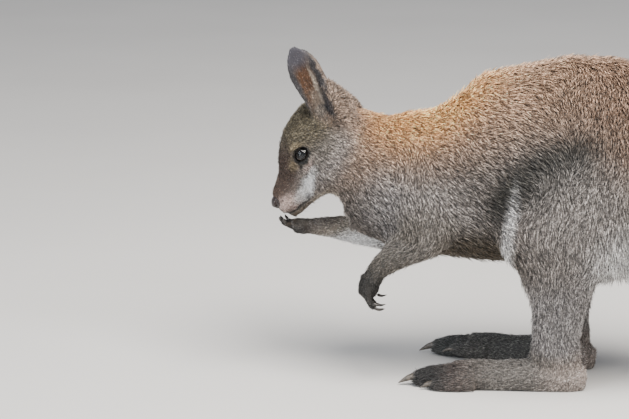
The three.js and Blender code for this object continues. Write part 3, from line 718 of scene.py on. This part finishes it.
def makeNose():
    low, high = (np.array(corner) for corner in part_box("nose"))
    centre, step = (low + high) / 2, nose["step"]
    reach = np.array([int(nose["reach"] / step)] * 3)
    start = np.round(centre / step).astype(int) - reach
    axes = [(start[k] + np.arange(2 * reach[k] + 1)) * step for k in range(3)]
    points = np.stack(np.meshgrid(*axes, indexing="ij"), -1)
    offset = (points - centre) / mm
    c, s = math.cos(math.radians(nose["tilt"])), math.sin(math.radians(nose["tilt"]))
    x, y, z = offset[..., 0] * c - offset[..., 2] * s, offset[..., 1], offset[..., 0] * s + offset[..., 2] * c
    a, b, d = nose["half"]
    share = np.sqrt((x / a) ** 2 + (y / b) ** 2 + (z / d) ** 2)
    pad = (share - 1) * min(nose["half"])
    back, rise, aside = headCoordinates(points)
    places = (back, rise, np.abs(aside))
    pad = pad - nose["wingHeight"] * np.exp(-(distanceTo(nose["wing"], places) / nose["wingRadius"]) ** 2)
    pad = -softMin(-pad, distanceTo(nose["nostril"], places) - nose["nostrilRadius"], nose["nostrilEdge"])
    groove = np.exp(-(aside / nose["grooveWidth"]) ** 2) * smoothStep(*nose["grooveEnds"], rise)
    pad = pad + nose["groove"] * groove
    turnX, turnY = nose["pebbleTurns"]
    pad = pad + nose["pebble"] * np.sin(points[..., 0] / mm * turnX) * np.sin(points[..., 1] / mm * turnY)
    field = np.clip(pad * mm, -nose["band"], nose["band"]).astype(np.float32)
    padPoints, triangles, quads = surfaceOf(field, start, step, 0.0)
    thing = newMesh("nosePad", padPoints, (triangles, quads))
    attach(thing, "root")
    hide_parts("nose")
    return thing


noseThing = makeNose()
print("nose done")


# Claws: the solids' shapes, rounded.
claw = {"rounding": 2, "weld": 0.02}
clawThings = []
for name in sorted(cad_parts):
    if "_claw_" not in name:
        continue
    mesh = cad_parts[name].data.copy()
    mesh.name = name + "_horn"
    mesh.materials.clear()
    thing = bpy.data.objects.new(name + "_horn", mesh)
    bpy.context.scene.collection.objects.link(thing)
    weld = thing.modifiers.new("weld", "WELD")
    weld.merge_threshold = claw["weld"] * mm
    rounding = thing.modifiers.new("rounding", "SUBSURF")
    rounding.levels = claw["rounding"]
    rounding.render_levels = claw["rounding"]
    mesh.polygons.foreach_set("use_smooth", np.ones(len(mesh.polygons), bool))
    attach(thing, "root")
    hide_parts(name)
    clawThings.append(thing)
print("claws:", len(clawThings))


# Whiskers, hairs of the chin and the brow, and lashes: fine tapering hairs of three sides.
# A row has its place on the head, how many hairs and how long. A group has places and lengths.
whisker = {"steps": 7, "radius": 0.16, "tip": 0.01, "lengths": (0.7, 1.1), "aside": 20, "jitter": 1.5,
           "top": 9, "gap": 3.2, "sweep": 0.35, "sweepGain": 0.1, "sweepSpread": 0.12, "dip": -0.1,
           "dipGain": -0.22, "droop": (1, -0.5, 0), "bend": 0.35,
           "rows": [(10, -12, 4, 24), (16, -15, 5, 32), (22, -18, 5, 38), (28, -20, 4, 34)]}
fineHairs = {"radius": 0.13, "bend": 0.3, "groups": [
    {"aside": 8, "direction": (0.3, -1, 0.6), "droop": (1, 0, 0),
     "places": [(8, -31, 11), (16, -33, 13), (26, -34, 12)]},
    {"aside": 25, "direction": (0.2, 0.7, 0.8), "droop": (1, -0.3, 0),
     "places": [(66, 34, 20), (70, 36, 24), (74, 37, 18)]},
]}
lash = {"count": 26, "length": 5.5, "radius": 0.11, "start": -0.75, "span": 1.45, "out": 8.2, "above": 0.6,
        "lean": (0.8, 0.75, 0.35), "fan": 0.3, "bend": -0.1}


def hairMesh(name, hairs):
    points, caps, quads = [], [], []
    for start, direction, droop, length, radius in hairs:
        side = unit(np.cross(direction, (0.1, 0.2, 1)))
        other = np.cross(direction, side)
        first = len(points)
        for k in range(whisker["steps"]):
            t = k / (whisker["steps"] - 1)
            middle = start + direction * length * t * mm + droop * length * t * t * mm
            for turn in range(3):
                angle = math.tau * turn / 3
                width = radius * (1 - t) * mm + whisker["tip"] * mm
                points.append(middle + (side * math.cos(angle) + other * math.sin(angle)) * width)
        for k in range(whisker["steps"] - 1):
            for turn in range(3):
                a, b = first + 3 * k + turn, first + 3 * k + (turn + 1) % 3
                quads.append((a, b, b + 3, a + 3))
        tail = first + 3 * (whisker["steps"] - 1)
        caps += [(first + 2, first + 1, first), (tail, tail + 1, tail + 2)]
    return newMesh(name, np.array(points), (np.array(caps), np.array(quads)))


# The place on the skin nearest to a place given in head coordinates.
def onSkin(s, n, y):
    target = place(onHead(s, n, y))
    return skinPoints[np.argmin(((skinPoints - target) ** 2).sum(1))]


def headVector(s, n, y):
    return unit(s * np.array(head["back"]) + n * np.array(head["brow"]) + np.array((0, y, 0)))


whiskerHairs, lashHairs = [], []
for side in (-1, 1):
    for s, n, count, length in whisker["rows"]:
        for k in range(count):
            at = onSkin(s + chance.uniform(-whisker["jitter"], whisker["jitter"]),
                        n + whisker["top"] - whisker["gap"] * k, side * whisker["aside"])
            sweep = whisker["sweep"] + whisker["sweepGain"] * k + chance.normal(0, whisker["sweepSpread"])
            direction = headVector(sweep, whisker["dip"] + whisker["dipGain"] * k, side * 1.0)
            droop = headVector(*whisker["droop"]) * whisker["bend"]
            long = length * chance.uniform(*whisker["lengths"])
            whiskerHairs.append((at, direction, droop, long, whisker["radius"]))
    for group in fineHairs["groups"]:
        back, brow, aside = group["direction"]
        direction = headVector(back, brow, side * aside)
        droop = headVector(*group["droop"]) * fineHairs["bend"]
        for s, n, length in group["places"]:
            at = onSkin(s, n, side * group["aside"])
            whiskerHairs.append((at, direction, droop, length, fineHairs["radius"]))
    centre, out, back, up = eyeFrame(side)
    for k in range(lash["count"]):
        u = lash["start"] + lash["span"] * k / (lash["count"] - 1)
        v = math.sqrt(1 - abs(u) ** eye["rearPower"])
        spot = out * lash["out"] + back * u * eye["rear"] + up * v * (eye["upper"] + lash["above"])
        leanOut, leanUp, leanBack = lash["lean"]
        direction = unit(out * leanOut + up * leanUp + back * (leanBack + lash["fan"] * u))
        long = lash["length"] * chance.uniform(*whisker["lengths"])
        lashHairs.append((centre + spot * mm, direction, up * lash["bend"], long, lash["radius"]))
whiskerThing = hairMesh("whiskers", whiskerHairs)
lashThing = hairMesh("lashes", lashHairs)
for thing in (whiskerThing, lashThing):
    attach(thing, "root")
print("whiskers:", len(whiskerHairs), "lashes:", len(lashHairs))


# Materials.
def addNode(tree, kind, inputs=None, **settings):
    node = tree.nodes.new(kind)
    for name, value in settings.items():
        setattr(node, name, value)
    for key, value in (inputs or {}).items():
        if isinstance(value, bpy.types.NodeSocket):
            tree.links.new(value, node.inputs[key])
        else:
            node.inputs[key].default_value = value
    return node


def newGroup(name, inputs, outputs):
    tree = bpy.data.node_groups.new(name, "ShaderNodeTree")
    for direction, sockets in (("INPUT", inputs), ("OUTPUT", outputs)):
        for label, kind in sockets.items():
            tree.interface.new_socket(label, in_out=direction, socket_type="NodeSocket" + kind)
    return tree, tree.nodes.new("NodeGroupInput").outputs, tree.nodes.new("NodeGroupOutput").inputs


def mixColor(tree, factor, a, b, blend="MIX"):
    node = addNode(tree, "ShaderNodeMix", data_type="RGBA", blend_type=blend)
    for socket, value in ((node.inputs[0], factor), (node.inputs[6], a), (node.inputs[7], b)):
        if isinstance(value, bpy.types.NodeSocket):
            tree.links.new(value, socket)
        else:
            socket.default_value = value if isinstance(value, float) else (*value, 1.0)[:4]
    node.clamp_result = True
    return node.outputs[2]


def doMath(tree, operation, a, b=0.0):
    return addNode(tree, "ShaderNodeMath", {0: a, 1: b}, operation=operation).outputs[0]


def vectorMath(tree, operation, *values):
    return addNode(tree, "ShaderNodeVectorMath", dict(enumerate(values)), operation=operation).outputs


def noiseAt(tree, spot, scale, detail=2.0):
    return addNode(tree, "ShaderNodeTexNoise", {"Vector": spot, "Scale": scale, "Detail": detail}).outputs


# From the range low to high to another range, evenly or, with smooth, easing in and out.
def ranged(tree, value, low, high, toLow=0.0, toHigh=1.0, smooth=False):
    return addNode(tree, "ShaderNodeMapRange", {0: value, 1: low, 2: high, 3: toLow, 4: toHigh},
                   interpolation_type="SMOOTHSTEP" if smooth else "LINEAR").outputs[0]


def attribute(tree, name):
    return addNode(tree, "ShaderNodeAttribute", attribute_name=name).outputs


# Some tones are painted shade: those of the flank hollow, the belly, the underside of the lower jaw and the
# far foot's shade.
coatTones = {
    "base": (0.18, 0.155, 0.14), "rufous": (0.80, 0.41, 0.145), "nape": (0.62, 0.30, 0.11),
    "tawny": (0.50, 0.31, 0.195), "rump": (0.30, 0.18, 0.115), "grey": (0.37, 0.335, 0.315),
    "pale": (0.38, 0.36, 0.36), "white": (1.0, 0.99, 0.99), "flankHollowShade": (0.01, 0.011, 0.008),
    "bellyShade": (0.075, 0.056, 0.034), "olive": (0.09, 0.074, 0.043), "muzzle": (0.085, 0.052, 0.038),
    "lip": (0.74, 0.55, 0.49), "buff": (0.50, 0.40, 0.24), "throat": (0.50, 0.43, 0.35),
    "black": (0.014, 0.013, 0.012), "earEdge": (0.032, 0.03, 0.034), "earTip": (0.075, 0.072, 0.088),
    "earInside": (0.095, 0.045, 0.022), "earDark": (0.075, 0.055, 0.046), "earPale": (0.44, 0.37, 0.30),
    "earBack": (0.25, 0.175, 0.13), "foot": (0.21, 0.19, 0.17), "toe": (0.02, 0.019, 0.019),
    "warmToe": (0.075, 0.052, 0.045), "heel": (0.56, 0.47, 0.42), "tail": (0.24, 0.22, 0.20),
    "shade": (0.08, 0.085, 0.08), "jawShade": (0.12, 0.09, 0.065), "forearm": (0.155, 0.135, 0.11),
}


# Markings: soft-edged patches, each a centre, three half sizes and the direction of the first, in mm. Side 0
# puts a patch on both sides of the animal, 1 only where it is written and -1 only across from there.
def patch(tone, centre, half, axis=(1, 0, 0), strength=1.0, soft=0.35, side=0):
    mirror = np.array((1, side or 1, 1))
    return {"tone": tone, "centre": mirror * centre, "half": half, "axis": mirror * axis,
            "strength": strength, "soft": soft, "folded": side == 0}


def headPatch(tone, s, n, y, half, axis=(1, 0, 0), **more):
    back, brow = np.array(head["back"]), np.array(head["brow"])
    direction = axis[0] * back + axis[1] * brow + np.array((0, axis[2], 0))
    return patch(tone, onHead(s, n, y), half, direction, **more)


# A place on an ear: up its axis, ahead across it, and out of its hollow.
def earPatch(tone, reach, forward, opened, half, side, strength=0.9, soft=0.45):
    axis = earAxes[side]
    ahead = np.array((-1, 0.25 * side, 0))
    ahead = unit(ahead - axis * (ahead @ axis))
    outward = np.cross(ahead, axis)
    outward = outward * np.sign(outward[1] * side)
    spot = earRoot * (1, side, 1) + axis * reach + ahead * forward + outward * opened
    return {"tone": tone, "centre": spot, "half": half, "axis": axis, "strength": strength, "soft": soft,
            "folded": False}


patches = [
    patch("grey", (140, 66, 195), (75, 50, 55), strength=0.9, soft=0.5),
    patch("tawny", (200, 0, 338), (200, 95, 72), (1, 0, 0.35), strength=0.85, soft=0.5, side=1),
    patch("rump", (395, 0, 330), (110, 110, 100), (1, 0, -0.3), strength=0.9, soft=0.5, side=1),
    patch("rufous", (150, 0, 325), (82, 60, 48), (1, 0, 0.45), strength=0.9, soft=0.6, side=1),
    patch("nape", (98, 0, 305), (40, 50, 22), (1, 0, 0.1), strength=0.5, soft=0.6, side=1),
    # painted shade: these two near-black patches darken the hollow of the flank between the chest and the
    # thigh, where shade falls
    patch("flankHollowShade", (285, 88, 262), (68, 34, 29), (0.85, 0, 0.55), strength=1.0, soft=0.6),
    patch("flankHollowShade", (236, 84, 228), (34, 30, 17), (0.5, 0, 0.85), strength=0.7, soft=0.6),
    # painted shade under the belly, dark where the light from above does not reach
    patch("bellyShade", (205, 0, 164), (88, 90, 36), strength=0.95, soft=0.5, side=1),
    patch("grey", (325, 92, 205), (62, 40, 66), strength=0.8, soft=0.6),
    patch("white", (242, 80, 178), (56, 26, 8), (0.1, 0, 1), strength=0.6, soft=0.7),
    patch("white", (372, 84, 156), (44, 34, 34), (0.3, 0, 1), strength=0.6, soft=0.7),
    patch("pale", (100, 48, 212), (32, 30, 40), strength=0.5, soft=0.6),
    patch("forearm", (134, 70, 184), (42, 26, 30), (1, 0, 0.3), strength=0.75, soft=0.6),
    patch("pale", (298, 60, 95), (75, 40, 44), (0, 0, 1), strength=0.85, soft=0.4),
    patch("forearm", (106, 66, 150), (52, 24, 24), (1, 0, 0.6), strength=0.9, soft=0.5, side=-1),
    # The far forearm's pale and white patches are partly its own pale fur and partly painted light, lifting
    # it out of the shade of the body.
    patch("throat", (46, 38, 162), (54, 34, 18), (1, 0.55, 0), strength=0.8, soft=0.5, side=1),
    patch("white", (48, 42, 152), (48, 34, 16), (1, 0.55, 0.1), strength=0.85, soft=0.5, side=1),
    patch("foot", (235, 54, 18), (110, 34, 30), strength=0.9, soft=0.3),
    patch("heel", (312, 48, 16), (34, 30, 26), strength=0.85, soft=0.6),
    patch("warmToe", (172, 62, 12), (34, 36, 28), strength=0.9, soft=0.7),
    patch("toe", (132, 68, 10), (42, 38, 32), strength=0.97, soft=0.5),
    patch("shade", (215, 55, 14), (100, 36, 34), strength=0.6, soft=0.4, side=1),
    patch("tail", (900, 45, 40), (330, 80, 26), strength=0.7, soft=0.5, side=1),
    patch("black", (1130, 18, 8), (60, 40, 26), strength=0.8, soft=0.6, side=1),
    # hands
    patch("black", (74, 62, 102), (44, 28, 28), (0, 0, 1), strength=0.97, soft=0.4, side=-1),
    patch("black", (-32, 1, 170), (28, 26, 20), (1, 0.35, 0), strength=0.92, soft=0.4, side=1),
    # head
    headPatch("grey", 92, -16, 34, (44, 34, 24), strength=0.85, soft=0.5),
    headPatch("forearm", 102, -1, 34, (32, 30, 19), axis=(1, 0.1, 0), strength=0.72, soft=0.6),
    headPatch("olive", 110, 30, 0, (56, 80, 29), strength=0.97, soft=0.4, side=1),
    headPatch("muzzle", 34, 13, 0, (48, 38, 22), axis=(1, 0.12, 0), strength=0.95, soft=0.4, side=1),
    headPatch("lip", 15, -16, 13, (17, 12, 9), axis=(1, -0.35, 0.3), strength=0.8, soft=0.6),
    headPatch("white", 50, -20, 23, (28, 14, 8), axis=(1, 0.14, 0.3), strength=1.0, soft=0.5),
    headPatch("lip", 74, -5, 30, (12, 8, 5), axis=(1, 0.1, 0), strength=0.6, soft=0.6),
    headPatch("throat", 58, -46, 0, (44, 34, 14), axis=(1, -0.1, 0), strength=0.9, soft=0.5, side=1),
    headPatch("buff", 77, 21.5, 28, (9, 9, 3.6), axis=(1, -0.3, 0), strength=0.65, soft=0.6),
    headPatch("buff", 58, 10, 27, (10, 8, 7), strength=0.5, soft=0.6),
    headPatch("black", 74.5, 8.6, 27, (13.8, 18, 12.2), axis=(1, 0.2, 0), strength=0.98, soft=0.12),
    headPatch("black", 64, 2, 27, (5, 10, 3.4), axis=(1, 0.9, 0), strength=0.9, soft=0.4),
    # painted shade: the underside of the lower jaw and the crease of the mouth are darkened where shade falls
    headPatch("jawShade", 18, -33, 0, (26, 22, 5.5), axis=(1, -0.1, 0), strength=0.85, soft=0.5, side=1),
    headPatch("black", 16, -27.5, 10, (20, 12, 1.5), axis=(1, -0.22, 0.3), strength=0.9, soft=0.5),
    # ears
    patch("earBack", (42, 34, 338), (38, 24, 28), (0.5, 0, -1), strength=0.85, soft=0.5),
    *[zone for side in (-1, 1) for zone in (
        earPatch("earBack", 34, -8, -8, (44, 26, 20), side, 0.85),
        earPatch("earDark", 48, 1, -8, (54, 15, 13), side, 0.95, 0.3),
        earPatch("earInside", 50, 2, -11, (36, 11, 9.5), side, 0.95, 0.4),
        earPatch("earPale", 40, -6, -9, (26, 10, 2.6), side, 0.7),
        earPatch("earPale", 20, 0, -8, (17, 10, 7), side, 0.5),
        earPatch("earEdge", 56, 14, -2, (42, 9, 4.6), side, 0.95, 0.4),
        earPatch("earEdge", 49, -14, -2, (44, 10, 3.8), side, 0.95, 0.4),
        earPatch("earEdge", 16, -9.5, 0, (24, 14, 3), side, 0.9, 0.4),
        earPatch("earTip", 93, 2, -2, (22, 26, 16), side, 0.97),
    )],
]
markingEdges = {"warp": 7.0, "noiseScale": 95.0, "noiseDetail": 3.0}
hairGrain = {"drawnOut": 0.86, "detail": 2.0}


def makeMarkings():
    tree, given, result = newGroup("coatMarkings", {"Place": "Vector"}, {"Color": "Color"})
    noise = noiseAt(tree, given["Place"], markingEdges["noiseScale"], markingEdges["noiseDetail"])
    shift = vectorMath(tree, "SUBTRACT", noise["Color"], (0.5, 0.5, 0.5))[0]
    moved = vectorMath(tree, "MULTIPLY_ADD", shift, (markingEdges["warp"] * mm,) * 3, given["Place"])[0]
    x, y, z = addNode(tree, "ShaderNodeSeparateXYZ", {0: moved}).outputs
    mirrored = doMath(tree, "ABSOLUTE", y)
    folded = addNode(tree, "ShaderNodeCombineXYZ", {"X": x, "Y": mirrored, "Z": z}).outputs[0]
    color = coatTones["base"]
    for zone in patches:
        inside = addNode(tree, "ShaderNodeMapping", {
            "Vector": folded if zone["folded"] else moved, "Location": place(zone["centre"]),
            "Rotation": Vector(zone["axis"]).to_track_quat("X", "Z").to_euler(),
            "Scale": [half * mm for half in zone["half"]]}, vector_type="TEXTURE").outputs[0]
        reach = vectorMath(tree, "LENGTH", inside)["Value"]
        share = ranged(tree, reach, 1 + zone["soft"], 1 - zone["soft"], 0.0, zone["strength"], smooth=True)
        color = mixColor(tree, share, color, coatTones[zone["tone"]])
    tree.links.new(color, result["Color"])
    return tree


# Fine hair: noise drawn out along the lie of the coat.
def makeGrain():
    tree, given, result = newGroup("hairGrain", {"Place": "Vector", "Lie": "Vector", "Scale": "Float"},
                                   {"Height": "Float"})
    dot = vectorMath(tree, "DOT_PRODUCT", given["Place"], given["Lie"])["Value"]
    drawn = doMath(tree, "MULTIPLY", dot, -hairGrain["drawnOut"])
    pulled = addNode(tree, "ShaderNodeVectorMath", {0: given["Lie"], 3: drawn}, operation="SCALE").outputs[0]
    squeezed = vectorMath(tree, "ADD", given["Place"], pulled)[0]
    noise = noiseAt(tree, squeezed, given["Scale"], hairGrain["detail"])
    tree.links.new(noise["Fac"], result["Height"])
    return tree


markings, grain = makeMarkings(), makeGrain()


def placeGroup(tree, group, **inputs):
    return addNode(tree, "ShaderNodeGroup", inputs, node_tree=group).outputs[0]


# A material with its shader's fixed values.
def newMaterial(name, fixed):
    material = bpy.data.materials.new(name)
    material.use_nodes = True
    tree = material.node_tree
    for key, value in fixed.items():
        tree.nodes["Principled BSDF"].inputs[key].default_value = value
    return material, tree


def placeOf(tree):
    return addNode(tree, "ShaderNodeTexCoord").outputs["Object"]


# Joins what changes over the surface to the shader. The relief is a height, its strength and its depth in mm.
def finishMaterial(material, color=None, roughness=None, relief=None):
    tree = material.node_tree
    shader = tree.nodes["Principled BSDF"]
    if color is not None:
        tree.links.new(color, shader.inputs["Base Color"])
    if roughness is not None:
        tree.links.new(roughness, shader.inputs["Roughness"])
    if relief is not None:
        bump = addNode(tree, "ShaderNodeBump", {
            "Height": relief[0], "Strength": relief[1], "Distance": relief[2] * mm})
        tree.links.new(bump.outputs[0], shader.inputs["Normal"])
    return material


skinLook = {"fixed": {"Roughness": 0.75, "Specular IOR Level": 0.25}, "hairScale": 900.0,
            "shade": (0.32, 0.68, 0.35, 1.15), "bump": 0.6, "bumpDepth": 0.6}


def skinMaterial():
    material, tree = newMaterial("skinCoat", skinLook["fixed"])
    spot = placeOf(tree)
    base = placeGroup(tree, markings, Place=spot)
    hair = placeGroup(tree, grain, Place=spot, Lie=attribute(tree, "lie")["Vector"],
                      Scale=skinLook["hairScale"])
    color = mixColor(tree, 1.0, base, ranged(tree, hair, *skinLook["shade"]), "MULTIPLY")
    return finishMaterial(material, color, relief=(hair, skinLook["bump"], skinLook["bumpDepth"]))


# Each tuft is dark at its root and takes the marking's colour above, lighter or darker from tuft to tuft.
# Ranges go from a share of the length, a tuft's or a lock's own number or noise to a level of brightness.
tuftLook = {
    "fixed": {"Roughness": 0.6, "Specular IOR Level": 0.3, "Sheen Weight": 0.12, "Sheen Roughness": 0.5},
    "rootShade": (0.0, 0.62, 0.2, 1.0), "lockShade": (0.0, 1.0, 0.7, 1.26),
    "darkTufts": (0.0, 0.5, 0.26, 1.0), "lightTip": (0.0, 1.0, 1.0, 2.5),
    "lightTufts": (0.45, 1.0), "lightTips": (0.4, 0.85),
    "fleckScale": 480.0, "fleckDetail": 1.0, "flecks": (0.38, 0.62, 0.42, 1.45),
    "whiteLevel": (0.6, 0.98, 0.0, 0.74), "tipShare": 0.16, "tip": (0.80, 0.76, 0.70),
}


def coatMaterial():
    look = tuftLook
    material, tree = newMaterial("coatTufts", look["fixed"])
    spot = placeOf(tree)
    base = placeGroup(tree, markings, Place=spot)
    along, tone, ownLock = (attribute(tree, name)["Fac"] for name in ("along", "tone", "lock"))
    lightTip = doMath(tree, "MULTIPLY", ranged(tree, tone, *look["lightTufts"], smooth=True),
                      ranged(tree, along, *look["lightTips"], smooth=True))
    noise = noiseAt(tree, spot, look["fleckScale"], look["fleckDetail"])["Fac"]
    level = ranged(tree, along, *look["rootShade"], smooth=True)
    shades = {"lockShade": ownLock, "darkTufts": tone, "lightTip": lightTip, "flecks": noise}
    for key, value in shades.items():
        level = doMath(tree, "MULTIPLY", level, ranged(tree, value, *look[key]))
    level = doMath(tree, "MAXIMUM", level, ranged(tree, base, *look["whiteLevel"]))  # white stays white
    color = mixColor(tree, 1.0, base, level, "MULTIPLY")
    color = mixColor(tree, doMath(tree, "MULTIPLY", lightTip, look["tipShare"]), color, look["tip"])
    return finishMaterial(material, color)


eyeLook = {"fixed": {"Roughness": 0.28, "Specular IOR Level": 0.15}, "raysScale": 9.0, "raysDetail": 4.0,
           "pupil": (0.0015, 0.0015, 0.002), "pupilEdge": (0.9, 1.08), "darkIris": (0.003, 0.002, 0.0015),
           "lightIris": (0.012, 0.006, 0.003), "white": (0.006, 0.005, 0.005), "irisEdge": 0.82}


def eyeMaterial():
    look = eyeLook
    material, tree = newMaterial("eyeBall", look["fixed"])
    disc = attribute(tree, "iris")["Vector"]
    wide, tall = iris["pupil"]
    pupil = vectorMath(tree, "MULTIPLY", disc, (1 / wide, 1 / tall, 0))[0]
    pupilReach = vectorMath(tree, "LENGTH", pupil)["Value"]
    flat = vectorMath(tree, "MULTIPLY", disc, (1, 1, 0))[0]
    reach = vectorMath(tree, "LENGTH", flat)["Value"]
    rays = vectorMath(tree, "NORMALIZE", flat)[0]
    noise = noiseAt(tree, rays, look["raysScale"], look["raysDetail"])["Fac"]
    color = mixColor(tree, noise, look["darkIris"], look["lightIris"])
    color = mixColor(tree, ranged(tree, pupilReach, *look["pupilEdge"], smooth=True), look["pupil"], color)
    edge = ranged(tree, reach, iris["half"] * look["irisEdge"], iris["half"], smooth=True)
    return finishMaterial(material, mixColor(tree, edge, color, look["white"]))


corneaLook = {"fixed": {"Transmission Weight": 1.0, "IOR": 1.34}, "filmScale": 500.0,
              "film": (0.3, 0.7, 0.0, 0.02)}


def corneaMaterial():
    material, tree = newMaterial("eyeCornea", corneaLook["fixed"])
    noise = noiseAt(tree, placeOf(tree), corneaLook["filmScale"])["Fac"]
    return finishMaterial(material, roughness=ranged(tree, noise, *corneaLook["film"]))


noseLook = {"fixed": {"Specular IOR Level": 0.45}, "pebbleScale": 1100.0, "pebble": (0.0, 0.25),
            "noiseScale": 260.0, "noiseDetail": 4.0, "dark": (0.01, 0.008, 0.008),
            "light": (0.045, 0.03, 0.028), "roughness": (0.3, 0.7, 0.16, 0.38), "bump": 0.5,
            "bumpDepth": 0.25}


def noseMaterial():
    look = noseLook
    material, tree = newMaterial("noseSkin", look["fixed"])
    spot = placeOf(tree)
    cells = addNode(tree, "ShaderNodeTexVoronoi", {"Vector": spot, "Scale": look["pebbleScale"]},
                    feature="DISTANCE_TO_EDGE")
    noise = noiseAt(tree, spot, look["noiseScale"], look["noiseDetail"])["Fac"]
    pebble = ranged(tree, cells.outputs["Distance"], *look["pebble"], smooth=True)
    return finishMaterial(material, mixColor(tree, noise, look["dark"], look["light"]),
                          ranged(tree, noise, *look["roughness"], smooth=True),
                          (pebble, look["bump"], look["bumpDepth"]))


hornLook = {"fixed": {"Specular IOR Level": 0.5}, "cloudScale": 420.0, "cloudDetail": 5.0,
            "clouds": (0.35, 0.65), "grainScale": 1500.0, "roughness": (0.3, 0.7, 0.25, 0.5), "bump": 0.3,
            "bumpDepth": 0.2,
            "hand": ((0.012, 0.010, 0.009), (0.05, 0.042, 0.036)),
            "toe": ((0.035, 0.03, 0.026), (0.13, 0.11, 0.09))}


def hornMaterial(name, dark, light):
    look = hornLook
    material, tree = newMaterial(name, look["fixed"])
    spot = placeOf(tree)
    clouds = noiseAt(tree, spot, look["cloudScale"], look["cloudDetail"])["Fac"]
    fine = noiseAt(tree, spot, look["grainScale"])["Fac"]
    color = mixColor(tree, ranged(tree, clouds, *look["clouds"], smooth=True), dark, light)
    return finishMaterial(material, color, ranged(tree, fine, *look["roughness"], smooth=True),
                          (fine, look["bump"], look["bumpDepth"]))


# A plain finish of two colours, clouded into each other.
def cloudedMaterial(name, look):
    material, tree = newMaterial(name, look["fixed"])
    noise = noiseAt(tree, placeOf(tree), look["scale"])["Fac"]
    return finishMaterial(material, mixColor(tree, noise, look["dark"], look["light"]))


whiskerLook = {"fixed": {"Roughness": 0.4, "Specular IOR Level": 0.5}, "scale": 150.0,
               "dark": (0.02, 0.016, 0.014), "light": (0.16, 0.13, 0.11)}
floorLook = {"fixed": {"Roughness": 0.85, "Specular IOR Level": 0.2}, "scale": 3.0,
             "dark": (0.60, 0.585, 0.565), "light": (0.66, 0.645, 0.625)}


def dress(material, *things):
    for thing in things:
        thing.data.materials.append(material)


dress(skinMaterial(), skinThing)
dress(coatMaterial(), *coatThings)
dress(eyeMaterial(), *[ball for ball, cover in eyeThings])
dress(corneaMaterial(), *[cover for ball, cover in eyeThings])
dress(noseMaterial(), noseThing)
for limb in ("hand", "toe"):
    dress(hornMaterial(limb + "Horn", *hornLook[limb]),
          *[thing for thing in clawThings if thing.name.startswith(limb)])
dress(cloudedMaterial("whiskerHair", whiskerLook), whiskerThing, lashThing)
print("materials done")


# Floor, light and camera.
floorHalf = 9.0  # m
floorCorners = np.array([(x * floorHalf, y * floorHalf, 0) for x, y in ((-1, -1), (1, -1), (1, 1), (-1, 1))])
floorThing = newMesh("floor", floorCorners, [np.array([(0, 1, 2, 3)])], smooth=False)
dress(cloudedMaterial("floorPaper", floorLook), floorThing)

room = {"color": (0.88, 0.92, 1.0, 1), "strength": 0.5}
world = bpy.data.worlds.new("softRoom")
bpy.context.scene.world = world
world.use_nodes = True
background = world.node_tree.nodes["Background"]
background.inputs["Color"].default_value = room["color"]
background.inputs["Strength"].default_value = room["strength"]

lights = {
    "key": {"at": (0.5, -0.9, 2.4), "aim": (-0.25, 0, 0.2), "size": 1.9, "power": 205.0,
            "color": (1.0, 0.96, 0.9)},
    "fill": {"at": (-1.8, -1.6, 1.0), "aim": (-0.3, 0, 0.2), "size": 1.6, "power": 34.0,
             "color": (0.88, 0.94, 1.0)},
}


def areaLight(name, at, aim, size, power, color):
    light = bpy.data.lights.new(name, "AREA")
    light.size, light.energy, light.color = size, power, color
    thing = bpy.data.objects.new(name, light)
    bpy.context.scene.collection.objects.link(thing)
    thing.location = at
    thing.rotation_mode = "QUATERNION"
    thing.rotation_quaternion = (Vector(aim) - Vector(at)).to_track_quat("-Z", "Y")


for name, light in lights.items():
    areaLight(name, **light)

view = {"azimuth": 10.0, "elevation": 13.0, "distance": 3.0, "target": (0, 0, 194), "focalPixels": 2500.0,
        "wide": 629, "sensor": 36.0, "clip": (0.1, 50)}
camera = bpy.data.objects.new("camera", bpy.data.cameras.new("camera"))
bpy.context.scene.collection.objects.link(camera)
camera.data.sensor_width = view["sensor"]
camera.data.lens = view["sensor"] * view["focalPixels"] / view["wide"]
azimuth, elevation = math.radians(view["azimuth"]), math.radians(view["elevation"])
towards = Vector((math.sin(azimuth) * math.cos(elevation), -math.cos(azimuth) * math.cos(elevation),
                  math.sin(elevation)))
camera.location = Vector(place(view["target"])) + towards * view["distance"]
camera.rotation_mode = "QUATERNION"
camera.rotation_quaternion = (-towards).to_track_quat("-Z", "Y")
camera.data.clip_start, camera.data.clip_end = view["clip"]
bpy.context.scene.camera = camera
print("stage done")
